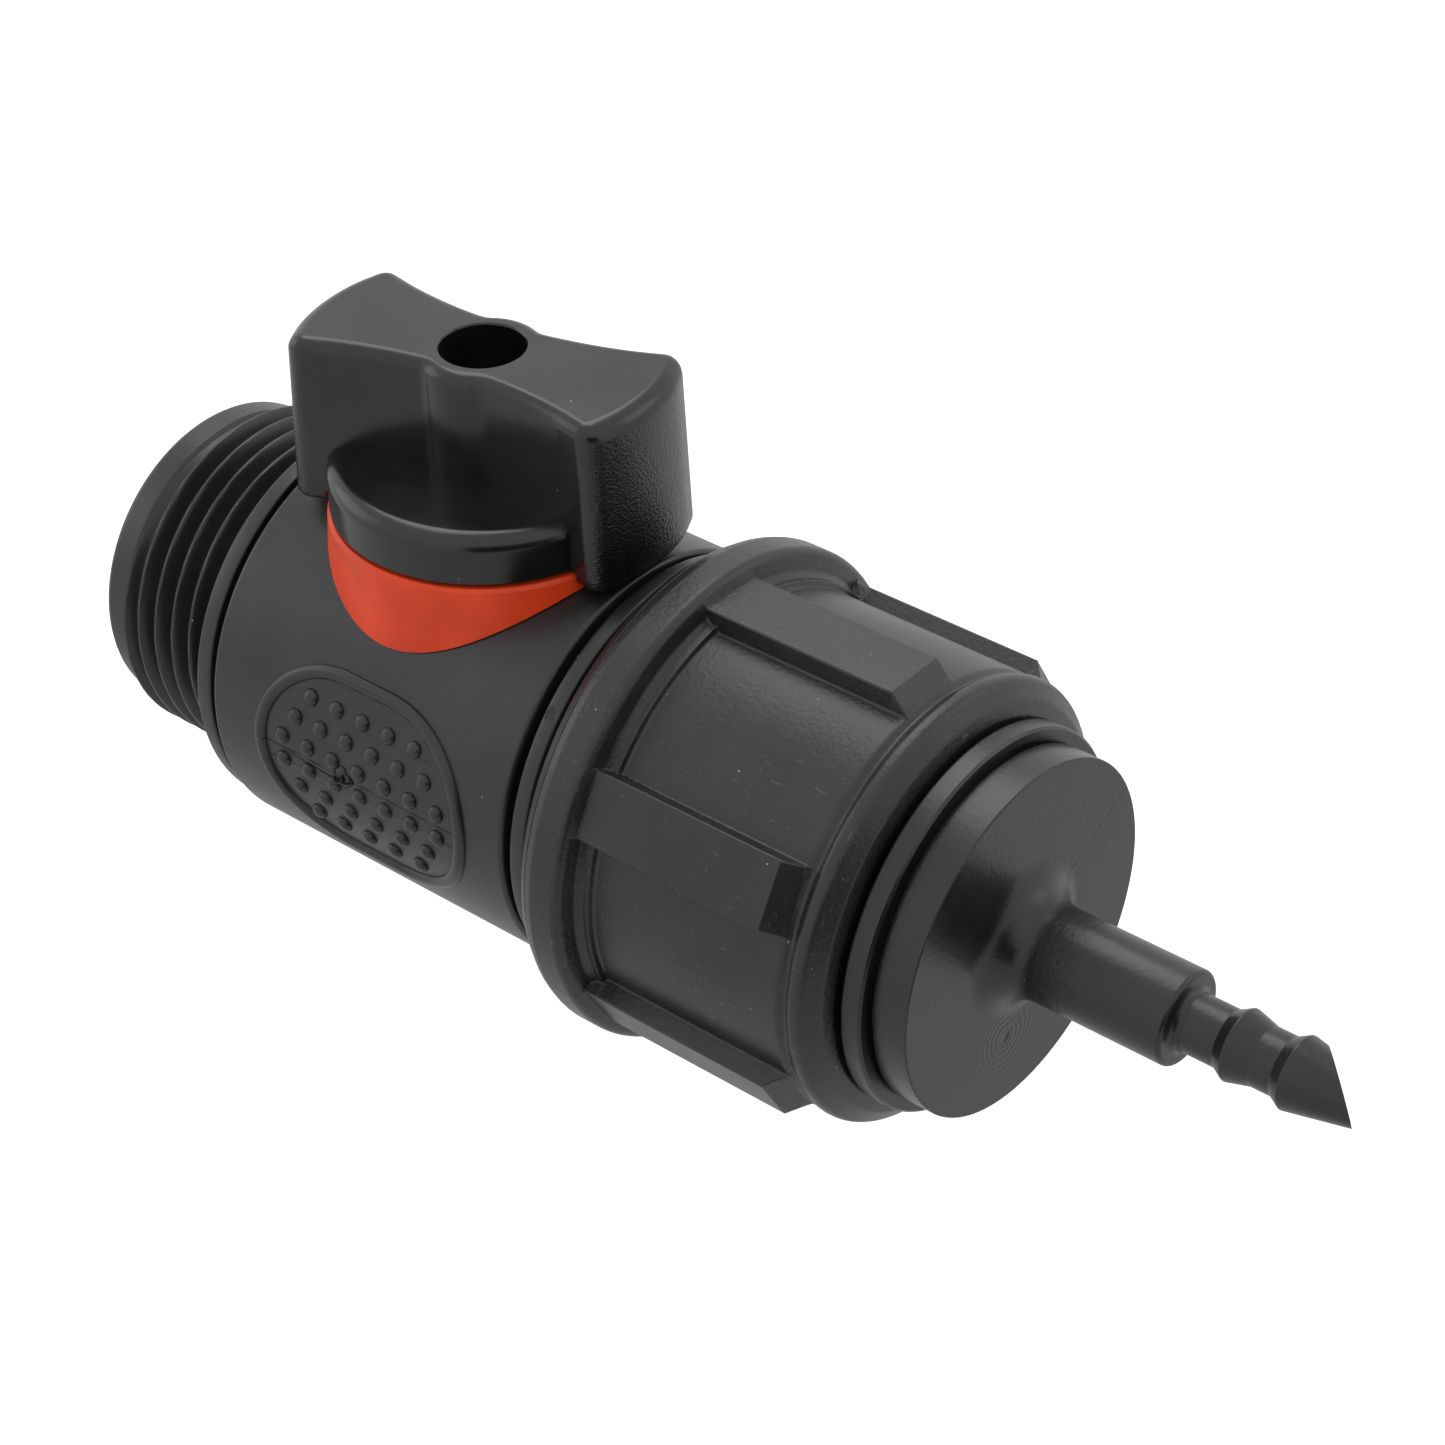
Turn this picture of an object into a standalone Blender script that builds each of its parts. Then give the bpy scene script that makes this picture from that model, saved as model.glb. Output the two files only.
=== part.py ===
"""Inline quarter-turn ball valve with a threaded inlet and a compression outlet that holds a barbed plug.

Units are metres. +X is the waterway, from the inlet face (x = 0) to the barb, and +Z is the stem.
The handle stands PARKED_ANGLE away from fully open, and the nut is done up.
"""

import math

import bmesh
import bpy
from mathutils import Matrix

MM = 0.001
GAP = 0.3 * MM
EDGE = 0.4 * MM
SKIM = 0.03 * MM

# Waterway and barrel
STEM_X = 30.0 * MM
BORE_R = 7.3 * MM
CAVITY_R = 10.8 * MM
BARREL_R = 15.85 * MM
BARREL_START_X = 15.4 * MM
BARREL_END_X = 44.0 * MM
BARREL_EDGE = 0.5 * MM
GROOVE_DEPTH = 1.6 * MM
GROOVE_WIDTH = 0.7 * MM
COLLAR_WIDTH = 1.5 * MM
COLLAR_R = 15.4 * MM
FLANGE_WIDTH = 1.4 * MM
FLANGE_R = 15.95 * MM

# Inlet thread, 3/4 inch parallel pipe thread
INLET_MAJOR_R = 13.22 * MM
INLET_PITCH = 1.814 * MM
INLET_TOOTH = 1.16 * MM
INLET_TURNS = 4.6
INLET_TOOTH_BASE = 1.5 * MM
INLET_TOOTH_TIP = 0.45 * MM
INLET_PILOT_LENGTH = 2.3 * MM
INLET_PILOT_R = 12.35 * MM
INLET_UNDERCUT_R = 11.7 * MM
INLET_UNDERCUT_LENGTH = 1.2 * MM
INLET_EDGE = 0.6 * MM

# Outlet thread and the nut that runs on it
OUTLET_X = 61.0 * MM
OUTLET_ROOT_R = 13.9 * MM
OUTLET_TOOTH = 0.85 * MM
OUTLET_PITCH = 3.0 * MM
OUTLET_THREAD_X = 50.5 * MM
OUTLET_TURNS = 2.6
TOOTH_BASE = 1.3 * MM
TOOTH_TIP = 0.6 * MM
NUT_X = 47.4 * MM
NUT_FRONT_X = 71.7 * MM
NUT_R = 16.3 * MM
NUT_RIM_R = 18.65 * MM
NUT_RIM_WIDTH = 4.4 * MM
NUT_RIM_EDGE = 1.7 * MM
NUT_RIM_FLAT = 0.6 * MM
NUT_SHOULDER = 2.6 * MM
NUT_TURNS = 2.6
RIB_COUNT = 6
RIB_FIRST_ANGLE = math.radians(30)
RIB_WIDTH = 5.0 * MM
RIB_R = 17.65 * MM
RIB_END_X = 67.5 * MM
RIB_CHAMFER = 1.9 * MM
RIB_SUNK = 0.6 * MM

# Stem, neck, collar and handle
NECK_R = 8.8 * MM
NECK_FOOT_Z = 12.0 * MM
NECK_TOP_Z = 16.6 * MM
STEM_HOLE_Z = 5.0 * MM
STEM_R = 4.0 * MM
STEM_FLANGE_R = 5.2 * MM
STEM_FLANGE_Z = 10.8 * MM
STEM_FLANGE = 0.75 * MM
STEM_WASHER = 0.5 * MM
STEM_SQUARE = 5.4 * MM
STEM_RING_R = 0.45 * MM
STEM_RING_SEAT = 1.5 * MM
TANG_LENGTH = 7.0 * MM
TANG_WIDTH = 3.2 * MM
TANG_DEPTH = 1.9 * MM
INDICATOR_R = 11.8 * MM
INDICATOR_FOOT_Z = 6.0 * MM
CAP_R = 11.6 * MM
CAP_BOTTOM_Z = 17.05 * MM
CAP_TOP_Z = 20.9 * MM
CAP_EDGE = 1.6 * MM
WING_TOP_Z = 29.1 * MM
WING_BOTTOM_Z = 16.2 * MM
WING_R = 14.5 * MM
WING_DRAFT = 0.45 * MM
WING_WAIST = 3.85 * MM
WING_FLARE = 15.0
WING_EDGE = 1.0 * MM
WING_WALL = 1.8 * MM
WING_ROOF = 2.2 * MM
HUB_R = 4.6 * MM
WELL_R = 3.02 * MM
WELL_FLOOR_Z = 21.4 * MM
SOCKET_TOP_Z = 20.0 * MM
PARKED_ANGLE = math.radians(8.2)
SCREW_HEAD_R = 2.6 * MM
SCREW_HEAD = 1.5 * MM
SCREW_R = 1.3 * MM
SCREW_LENGTH = 8.0 * MM
SCREW_POINT = 0.8 * MM
SCREW_HEAD_EDGE = 0.5 * MM
SCREW_SLOT = 0.8 * MM
SCREW_SLOT_LENGTH = 3.2 * MM
SCREW_SLOT_DEPTH = 1.0 * MM

# Ball, seats and carrier
BALL_R = 10.45 * MM
BALL_ROWS = 14
BALL_COLUMNS = 24
BALL_SLOT_BLOCK = 4.0 * MM
BALL_BORE_R = 7.0 * MM
SEAT_R = 10.5 * MM
SEAT_INNER_R = BORE_R
SEAT_BACK = 8.95 * MM
SEAT_CONTACT = 1.15 * GAP
SEAT_RIM_ANGLE = 62
BACKING_RING_R = 0.42 * MM
SHOULDER = 10.45 * MM
CARRIER_LENGTH = 9.2 * MM
CARRIER_RING_R = 0.5 * MM
CARRIER_RING_SEAT = 1.6 * MM
CARRIER_SEAT_DEPTH = 1.4 * MM

# Compression seal round the plug
SPIGOT_R = 10.5 * MM
SPIGOT_CHAMFER = 1.2 * MM
SOCKET_MOUTH_R = 12.6 * MM
SOCKET_MOUTH_DEPTH = 4.6 * MM
SEAL_RING_R = 0.75 * MM
BUSH_NOSE = 1.7 * MM
BUSH_FLANGE = 1.0 * MM
GRIP_LENGTH = 6.4 * MM
GRIP_BIG_R = 13.3 * MM
GRIP_SMALL_R = 11.9 * MM
GRIP_LAND = 1.5 * MM
GRIP_SPLIT = 1.6 * MM
GRIP_SPLIT_BLOCK = 5.0 * MM

# Barbed plug
PLUG_WALL = 2.2 * MM
PLUG_FLOOR_X = 73.2 * MM
FLANGE_DISC_X = 72.1 * MM
FLANGE_DISC_R = 14.1 * MM
FLANGE_DISC_WIDTH = 1.7 * MM
DISC_GROOVE = 0.25 * MM
DISC_GROOVE_R = 12.7 * MM
FACE_DISC_R = 13.1 * MM
FACE_X = 76.8 * MM
SLEEVE_R = 3.45 * MM
SLEEVE_FILLET = 2.7 * MM
SLEEVE_END_X = 90.2 * MM
SHANK_R = 2.1 * MM
FIRST_BARB_X = 93.9 * MM
FIRST_BARB_R = 2.65 * MM
BARB_CONE = 1.8 * MM
LAST_BARB_X = 98.1 * MM
LAST_BARB_R = 2.65 * MM
BARB_BACK = 0.3 * MM
TIP_X = 103.2 * MM
TIP_R = 1.7 * MM
CUT_SLOPE = math.radians(45)
CUT_DIRECTION = math.radians(20)
CUT_BLOCK = 12.0 * MM
BARB_BORE_R = 1.1 * MM

ROUND = 36
RING_ROUND = 30
SMALL_ROUND = 20
TINY_ROUND = 12
RING_SIDES = 6
THREAD_SUNK = 0.25 * MM

parts = bpy.data.collections.new("barbed_ball_valve")
cutters = bpy.data.collections.new("cutters")


def clear_scene():
    """Removes the scene's objects and links the two collections."""
    for obj in list(bpy.data.objects):
        bpy.data.objects.remove(obj, do_unlink=True)
    bpy.context.scene.collection.children.link(parts)
    bpy.context.scene.collection.children.link(cutters)


def material(name, colour, roughness, metallic=0.0):
    made = bpy.data.materials.new(name)
    made.use_nodes = True
    shader = made.node_tree.nodes["Principled BSDF"]
    shader.inputs["Base Color"].default_value = (*colour, 1.0)
    shader.inputs["Roughness"].default_value = roughness
    shader.inputs["Metallic"].default_value = metallic
    return made


def finish(obj, mat=None, cutter=False):
    """Puts the object in its collection, hides it if it is a cutter, and shades it smooth up to 35 degrees."""
    (cutters if cutter else parts).objects.link(obj)
    if cutter:
        obj.hide_render = True
        obj.display_type = "WIRE"
    if mat:
        obj.data.materials.append(mat)
    obj.data.shade_smooth()
    obj.data.set_sharp_from_angle(angle=math.radians(35))
    return obj


def turned(name, profile, along_x=True, centre_x=0.0, sides=ROUND, mat=None, cutter=False):
    """A ring or a solid of revolution from a closed or axis-to-axis profile of (station, radius) points.

    Stations are distances along the axis. The profile may run either way: it is turned round if it would
    come out inside out.
    """
    area = sum(
        a[0] * b[1] - b[0] * a[1] for a, b in zip(profile, profile[1:] + profile[:1])
    )
    points = list(profile) if area > 0 else list(reversed(profile))
    solid = min(radius for _, radius in points) <= 0
    if solid:
        while not (points[0][1] <= 0 and points[-1][1] <= 0):
            points = points[1:] + points[:1]
    mesh = bpy.data.meshes.new(name)
    edges = [(i, i + 1) for i in range(len(points) - 1)]
    if not solid:
        edges.append((len(points) - 1, 0))
    mesh.from_pydata([(radius, 0, station) for station, radius in points], edges, [])
    obj = bpy.data.objects.new(name, mesh)
    screw = obj.modifiers.new("turn", "SCREW")
    screw.steps = sides
    screw.render_steps = sides
    screw.use_merge_vertices = True
    screw.merge_threshold = 0.00001
    obj.location.x = centre_x
    if along_x:
        obj.rotation_euler.y = math.radians(90)
    return finish(obj, mat, cutter)


def ring(name, station, centre_r, section_r, along_x=True, centre_x=0.0, mat=None):
    """A round-section seal ring."""
    mesh = bpy.data.meshes.new(name)
    points = [
        (
            centre_r + section_r * math.cos(math.tau * i / RING_SIDES),
            0,
            station - section_r * math.sin(math.tau * i / RING_SIDES),
        )
        for i in range(RING_SIDES)
    ]
    mesh.from_pydata(points, [(i, (i + 1) % RING_SIDES) for i in range(RING_SIDES)], [])
    obj = bpy.data.objects.new(name, mesh)
    screw = obj.modifiers.new("turn", "SCREW")
    screw.steps = RING_ROUND if along_x else SMALL_ROUND
    screw.render_steps = screw.steps
    screw.use_merge_vertices = True
    screw.merge_threshold = 0.00001
    obj.location.x = centre_x
    if along_x:
        obj.rotation_euler.y = math.radians(90)
    return finish(obj, mat)


def boolean(target, tool, operation):
    """Adds an exact Boolean of tool to target. The tool is hidden with the cutters."""
    modifier = target.modifiers.new(tool.name, "BOOLEAN")
    modifier.operation = operation
    modifier.object = tool
    modifier.solver = "EXACT"
    return target


def helix(name, start_x, pitch, turns, section, sides=ROUND):
    """A right-handed ridge about +X. section holds (offset along x, radius) points, swept as the turns go."""
    bm = bmesh.new()
    face = bm.faces.new([bm.verts.new((start_x + dx, 0, radius)) for dx, radius in section])
    steps = round(sides * turns)
    bmesh.ops.spin(
        bm,
        geom=[face, *face.edges, *face.verts],
        cent=(0, 0, 0),
        axis=(1, 0, 0),
        dvec=(pitch / sides, 0, 0),
        angle=math.tau * steps / sides,
        steps=steps,
    )
    bmesh.ops.recalc_face_normals(bm, faces=bm.faces)
    mesh = bpy.data.meshes.new(name)
    bm.to_mesh(mesh)
    bm.free()
    return finish(bpy.data.objects.new(name, mesh), cutter=True)


def prism(name, bottom, low, top, high, cutter=False, mat=None):
    """An upright solid between two closed outlines with equally many (x, y) points."""
    bm = bmesh.new()
    below = [bm.verts.new((x, y, low)) for x, y in bottom]
    above = [bm.verts.new((x, y, high)) for x, y in top]
    bm.faces.new(below)
    bm.faces.new(above)
    for i in range(len(below)):
        bm.faces.new((below[i - 1], below[i], above[i], above[i - 1]))
    bmesh.ops.recalc_face_normals(bm, faces=bm.faces)
    mesh = bpy.data.meshes.new(name)
    bm.to_mesh(mesh)
    bm.free()
    return finish(bpy.data.objects.new(name, mesh), mat, cutter)


def box(name, size, centre, cutter=True, mat=None):
    """A box of the given size, its centre at the given point."""
    bm = bmesh.new()
    bmesh.ops.create_cube(bm, size=1.0)
    bmesh.ops.scale(bm, vec=size, verts=bm.verts)
    bmesh.ops.translate(bm, vec=centre, verts=bm.verts)
    mesh = bpy.data.meshes.new(name)
    bm.to_mesh(mesh)
    bm.free()
    return finish(bpy.data.objects.new(name, mesh), mat, cutter)


def arc(centre, radius, start, end, count):
    """Points (station, radius) on a circle about a (station, radius) centre. start and end are in degrees."""
    return [
        (
            centre[0] + radius * math.cos(math.radians(start + (end - start) * i / (count - 1))),
            centre[1] + radius * math.sin(math.radians(start + (end - start) * i / (count - 1))),
        )
        for i in range(count)
    ]


def tooth(base, tip, root_r, crest_r):
    """A trapezium tooth section, base wide at the root radius. Its flanks run on into the core."""
    sunk = THREAD_SUNK / (crest_r - root_r)
    foot = base + (base - tip) * abs(sunk)
    foot_r = root_r - (crest_r - root_r) * abs(sunk)
    return [(-foot / 2, foot_r), (-tip / 2, crest_r), (tip / 2, crest_r), (foot / 2, foot_r)]


# ---------------------------------------------------------------- derived sizes
inlet_root_r = INLET_MAJOR_R - INLET_TOOTH
collar_x = BARREL_START_X - GROOVE_WIDTH - COLLAR_WIDTH
flange_x = BARREL_END_X + GROOVE_WIDTH
flange_end_x = flange_x + FLANGE_WIDTH
inlet_shoulder_x = STEM_X - SHOULDER
carrier_x = STEM_X + SHOULDER
socket_x = carrier_x + CARRIER_LENGTH + GAP
mouth_x = OUTLET_X - SOCKET_MOUTH_DEPTH
nut_thread_root_r = OUTLET_ROOT_R + OUTLET_TOOTH + GAP
nut_thread_crest_r = OUTLET_ROOT_R + GAP
washer_z = STEM_FLANGE_Z + STEM_FLANGE + GAP
stem_counterbore_z = washer_z + STEM_WASHER + GAP
lower_ring_z = stem_counterbore_z + GAP + STEM_RING_SEAT / 2
upper_ring_z = lower_ring_z + STEM_RING_SEAT + GAP
stem_hole_r = STEM_R + GAP
stem_ring_centre_r = stem_hole_r - GAP - STEM_RING_R
screw_seat_z = WELL_FLOOR_Z + GAP
spigot_x = socket_x + GAP
bush_x = OUTLET_X - BUSH_NOSE
grip_x = OUTLET_X + GAP + BUSH_FLANGE + GAP
handle_turn = Matrix.Translation((STEM_X, 0, 0)) @ Matrix.Rotation(PARKED_ANGLE, 4, "Z")


def make_body(mat):
    """The one-piece moulded body: inlet thread, barrel, neck, outlet thread and the stepped waterway."""
    floor_r = BARREL_R - GROOVE_DEPTH
    outer = [
        (0, BORE_R + EDGE),
        (0, INLET_PILOT_R - INLET_EDGE),
        (INLET_EDGE, INLET_PILOT_R),
        (INLET_PILOT_LENGTH, INLET_PILOT_R),
        (INLET_PILOT_LENGTH + EDGE, inlet_root_r),
        (collar_x - INLET_UNDERCUT_LENGTH - EDGE, inlet_root_r),
        (collar_x - INLET_UNDERCUT_LENGTH, INLET_UNDERCUT_R),
        (collar_x, INLET_UNDERCUT_R),
        (collar_x, COLLAR_R - EDGE),
        (collar_x + EDGE, COLLAR_R),
        (collar_x + COLLAR_WIDTH, COLLAR_R),
        (collar_x + COLLAR_WIDTH, floor_r),
        (BARREL_START_X, floor_r),
        (BARREL_START_X, BARREL_R - BARREL_EDGE),
        (BARREL_START_X + BARREL_EDGE, BARREL_R),
        (BARREL_END_X - BARREL_EDGE, BARREL_R),
        (BARREL_END_X, BARREL_R - BARREL_EDGE),
        (BARREL_END_X, floor_r),
        (flange_x, floor_r),
        (flange_x, FLANGE_R - EDGE),
        (flange_x + EDGE, FLANGE_R),
        (flange_end_x, FLANGE_R),
        (flange_end_x, OUTLET_ROOT_R),
        (OUTLET_X - EDGE, OUTLET_ROOT_R),
        (OUTLET_X, OUTLET_ROOT_R - EDGE),
    ]
    inner = [
        (OUTLET_X, SOCKET_MOUTH_R),
        (mouth_x, SOCKET_MOUTH_R),
        (mouth_x, CAVITY_R),
        (inlet_shoulder_x, CAVITY_R),
        (inlet_shoulder_x, BORE_R),
        (EDGE, BORE_R),
    ]
    body = turned("valve_body", outer + inner, mat=mat)
    inlet_tooth = tooth(INLET_TOOTH_BASE, INLET_TOOTH_TIP, inlet_root_r, INLET_MAJOR_R)
    inlet_thread_x = INLET_PILOT_LENGTH + INLET_PITCH / 2
    boolean(body, helix("inlet_ridge", inlet_thread_x, INLET_PITCH, INLET_TURNS, inlet_tooth), "UNION")
    outlet_tooth = tooth(TOOTH_BASE, TOOTH_TIP, OUTLET_ROOT_R, OUTLET_ROOT_R + OUTLET_TOOTH)
    boolean(
        body, helix("outlet_ridge", OUTLET_THREAD_X, OUTLET_PITCH, OUTLET_TURNS, outlet_tooth), "UNION"
    )
    neck = [(NECK_FOOT_Z, 0), (NECK_FOOT_Z, NECK_R), (NECK_TOP_Z - EDGE, NECK_R)]
    neck += [(NECK_TOP_Z, NECK_R - EDGE), (NECK_TOP_Z, 0)]
    boolean(body, turned("neck_boss", neck, False, STEM_X, cutter=True), "UNION")
    flange_hole_r = STEM_FLANGE_R + GAP
    hole = [(STEM_HOLE_Z, 0), (STEM_HOLE_Z, flange_hole_r), (stem_counterbore_z, flange_hole_r)]
    hole += [(stem_counterbore_z, stem_hole_r), (NECK_TOP_Z + MM, stem_hole_r), (NECK_TOP_Z + MM, 0)]
    boolean(body, turned("stem_hole", hole, False, STEM_X, SMALL_ROUND, cutter=True), "DIFFERENCE")
    return body


def make_indicator(mat):
    """The coloured collar round the neck. Its foot is saddle shaped, to sit on the barrel."""
    top_z = CAP_BOTTOM_Z - GAP
    inner = NECK_R + GAP
    tube = [(INDICATOR_FOOT_Z, inner), (INDICATOR_FOOT_Z, INDICATOR_R), (top_z, INDICATOR_R), (top_z, inner)]
    collar = turned("indicator_collar", tube, False, STEM_X, mat=mat)
    reach = INDICATOR_R + MM
    saddle = [(-reach, 0), (-reach, BARREL_R + GAP), (reach, BARREL_R + GAP), (reach, 0)]
    return boolean(collar, turned("saddle", saddle, centre_x=STEM_X, cutter=True), "DIFFERENCE")


def wing_outline(waist, flare, radius, reach=0.0):
    """A bow-tie in plan: sides at waist + flare u^2 from the long axis, and ends on a circle about the stem.

    reach leaves out the middle, so that it gives the outline of one half from u = reach.
    """
    corner = radius
    for _ in range(20):
        corner = math.sqrt(radius * radius - (waist + flare * corner * corner) ** 2)
    half_angle = math.acos(corner / radius)
    ends = [(radius * math.cos(a), radius * math.sin(a)) for a in spread(-half_angle, half_angle, 9)]
    back = [(u, waist + flare * u * u) for u in spread(corner, reach, 7)[1:]]
    front = [(u, -y) for u, y in reversed(back)]
    if reach:
        return front + ends + back
    half = front[1:] + ends + back
    return half + [(-u, -v) for u, v in half[1:-1]]


def spread(start, end, count):
    """Evenly spaced numbers from start to end."""
    return [start + (end - start) * i / (count - 1) for i in range(count)]


def make_handle(mat):
    """The butterfly handle: wing, hub and cap disc in one moulding, cored out from below."""
    foot = wing_outline(WING_WAIST, WING_FLARE, WING_R)
    crown = wing_outline(WING_WAIST, WING_FLARE, WING_R - WING_DRAFT)
    handle = prism("handle", foot, WING_BOTTOM_Z, crown, WING_TOP_Z, mat=mat)
    edge = handle.modifiers.new("edges", "BEVEL")
    edge.width = WING_EDGE
    edge.segments = 3
    edge.limit_method = "ANGLE"
    edge.angle_limit = math.radians(40)
    hub_z = WING_TOP_Z - SKIM
    hub = [(CAP_TOP_Z - MM, 0), (CAP_TOP_Z - MM, HUB_R)]
    hub += arc((hub_z - WING_EDGE, HUB_R - WING_EDGE), WING_EDGE, 90, 0, 4) + [(hub_z, 0)]
    boolean(handle, turned("hub", hub, False, sides=SMALL_ROUND, cutter=True), "UNION")
    cap = [(CAP_BOTTOM_Z, 0), (CAP_BOTTOM_Z, CAP_R)]
    cap += arc((CAP_TOP_Z - CAP_EDGE, CAP_R - CAP_EDGE), CAP_EDGE, 90, 0, 4)
    cap += [(CAP_TOP_Z, 0)]
    boolean(handle, turned("cap_disc", cap, False, cutter=True), "UNION")
    pocket_waist = WING_WAIST - WING_WALL
    pocket_r = WING_R - WING_DRAFT - WING_WALL
    core = wing_outline(pocket_waist, WING_FLARE, pocket_r, HUB_R + WING_WALL)
    for side in (0, 180):
        pocket = prism(
            f"pocket_{side}", core, WING_BOTTOM_Z - MM, core, WING_TOP_Z - WING_ROOF, cutter=True
        )
        pocket.data.transform(Matrix.Rotation(math.radians(side), 4, "Z"))
        pocket.parent = handle
        boolean(handle, pocket, "DIFFERENCE")
    relief_r = INDICATOR_R + GAP
    relief = [(WING_BOTTOM_Z - MM, 0), (WING_BOTTOM_Z - MM, relief_r), (CAP_BOTTOM_Z, relief_r)]
    relief += [(CAP_BOTTOM_Z, 0)]
    boolean(handle, turned("collar_relief", relief, False, cutter=True), "DIFFERENCE")
    well = [(WELL_FLOOR_Z, 0), (WELL_FLOOR_Z, WELL_R), (WING_TOP_Z + MM, WELL_R), (WING_TOP_Z + MM, 0)]
    boolean(handle, turned("well", well, False, sides=SMALL_ROUND, cutter=True), "DIFFERENCE")
    screw_hole = [(SOCKET_TOP_Z - MM, 0), (SOCKET_TOP_Z - MM, SCREW_R + GAP)]
    screw_hole += [(WELL_FLOOR_Z + MM, SCREW_R + GAP), (WELL_FLOOR_Z + MM, 0)]
    boolean(handle, turned("screw_hole", screw_hole, False, sides=TINY_ROUND, cutter=True), "DIFFERENCE")
    side = STEM_SQUARE + 2 * GAP
    depth = SOCKET_TOP_Z - CAP_BOTTOM_Z + MM
    boolean(
        handle, box("square_socket", (side, side, depth), (0, 0, SOCKET_TOP_Z - depth / 2)), "DIFFERENCE"
    )
    return handle


def make_stem(mat):
    """The stem: square drive on top, two ring grooves, a retaining flange, and a tang in the ball's slot."""
    top_z = SOCKET_TOP_Z - GAP
    groove_r = stem_ring_centre_r - STEM_RING_R - GAP
    half_seat = STEM_RING_SEAT / 2
    profile = [
        (STEM_FLANGE_Z, 0),
        (STEM_FLANGE_Z, STEM_FLANGE_R),
        (STEM_FLANGE_Z + STEM_FLANGE, STEM_FLANGE_R),
        (STEM_FLANGE_Z + STEM_FLANGE, STEM_R),
    ]
    for z in (lower_ring_z, upper_ring_z):
        profile += [(z - half_seat, STEM_R), (z - half_seat, groove_r)]
        profile += [(z + half_seat, groove_r), (z + half_seat, STEM_R)]
    profile += [(CAP_BOTTOM_Z - GAP, STEM_R), (CAP_BOTTOM_Z - GAP, 0)]
    stem = turned("stem", profile, False, sides=SMALL_ROUND, mat=mat)
    foot = upper_ring_z + half_seat + SKIM
    square = box("drive", (STEM_SQUARE, STEM_SQUARE, top_z - foot), (0, 0, (top_z + foot) / 2))
    boolean(stem, square, "UNION")
    tang_low = BALL_R - TANG_DEPTH
    tang_high = STEM_FLANGE_Z + STEM_FLANGE / 2
    tang = box("tang", (TANG_WIDTH, TANG_LENGTH, tang_high - tang_low), (0, 0, (tang_high + tang_low) / 2))
    boolean(stem, tang, "UNION")
    pilot_z = screw_seat_z - SCREW_LENGTH - GAP
    pilot = [(pilot_z, 0), (pilot_z, SCREW_R + GAP), (top_z + MM, SCREW_R + GAP), (top_z + MM, 0)]
    return boolean(stem, turned("pilot_hole", pilot, False, sides=TINY_ROUND, cutter=True), "DIFFERENCE")


def make_screw(mat):
    """The pan-head screw that holds the handle on the stem."""
    end_z = screw_seat_z - SCREW_LENGTH
    head_z = screw_seat_z + SCREW_HEAD
    profile = [
        (end_z, 0),
        (end_z + SCREW_POINT, SCREW_R),
        (screw_seat_z, SCREW_R),
        (screw_seat_z, SCREW_HEAD_R),
        (head_z - SCREW_HEAD_EDGE, SCREW_HEAD_R),
        (head_z, SCREW_HEAD_R - SCREW_HEAD_EDGE),
        (head_z, 0),
    ]
    screw = turned("handle_screw", profile, False, sides=SMALL_ROUND, mat=mat)
    for axis, name in enumerate(("cross_slot_x", "cross_slot_y")):
        size = [SCREW_SLOT, SCREW_SLOT, 2 * SCREW_SLOT_DEPTH]
        size[axis] = SCREW_SLOT_LENGTH
        boolean(screw, box(name, size, (0, 0, head_z)), "DIFFERENCE")
    return screw


def make_ball(mat):
    """The ball, with its bore along the handle's wing and the tang's slot across the bore."""
    bm = bmesh.new()
    bmesh.ops.create_uvsphere(bm, u_segments=BALL_COLUMNS, v_segments=BALL_ROWS, radius=BALL_R)
    mesh = bpy.data.meshes.new("ball")
    bm.to_mesh(mesh)
    bm.free()
    ball = finish(bpy.data.objects.new("ball", mesh), mat)
    reach = BALL_R + MM
    bore = [(-reach, 0), (-reach, BALL_BORE_R), (reach, BALL_BORE_R), (reach, 0)]
    boolean(ball, turned("ball_bore", bore, cutter=True), "DIFFERENCE")
    slot_z = BALL_R - TANG_DEPTH - GAP + BALL_SLOT_BLOCK / 2
    slot = box("ball_slot", (TANG_WIDTH + 2 * GAP, 2 * BALL_R, BALL_SLOT_BLOCK), (0, 0, slot_z))
    return boolean(ball, slot, "DIFFERENCE")


def seat_profile():
    """A seat ring's section, as distances from the ball's centre. Its face lies GAP off the ball."""
    reach = BALL_R + SEAT_CONTACT
    inner = math.degrees(math.asin(SEAT_INNER_R / reach))
    face = arc((0, 0), reach, inner, SEAT_RIM_ANGLE, 4)
    return [(SEAT_BACK, SEAT_R), (SEAT_BACK, SEAT_INNER_R), *face, (face[-1][0], SEAT_R)]


def make_seats(mat):
    for name, side in (("seat_inlet", -1), ("seat_outlet", 1)):
        turned(name, [(side * x, r) for x, r in seat_profile()], centre_x=STEM_X, mat=mat)


def make_seals(mat):
    """Every round-section seal ring."""
    backing_x = SEAT_BACK + GAP + BACKING_RING_R
    for name, side in (("seat_ring_inlet", -1), ("seat_ring_outlet", 1)):
        ring(name, side * backing_x, (BORE_R + SEAT_R) / 2, BACKING_RING_R, centre_x=STEM_X, mat=mat)
    ring_r = CAVITY_R - GAP - CARRIER_RING_R
    ring("carrier_ring", carrier_x + CARRIER_LENGTH / 2, ring_r, CARRIER_RING_R, mat=mat)
    seal_x = bush_x - GAP - SEAL_RING_R
    ring("spigot_ring", seal_x, (SPIGOT_R + SOCKET_MOUTH_R) / 2, SEAL_RING_R, mat=mat)
    rings = [
        ring(name, z, stem_ring_centre_r, STEM_RING_R, along_x=False, mat=mat)
        for name, z in (("stem_ring_lower", lower_ring_z), ("stem_ring_upper", upper_ring_z))
    ]
    return rings


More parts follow.
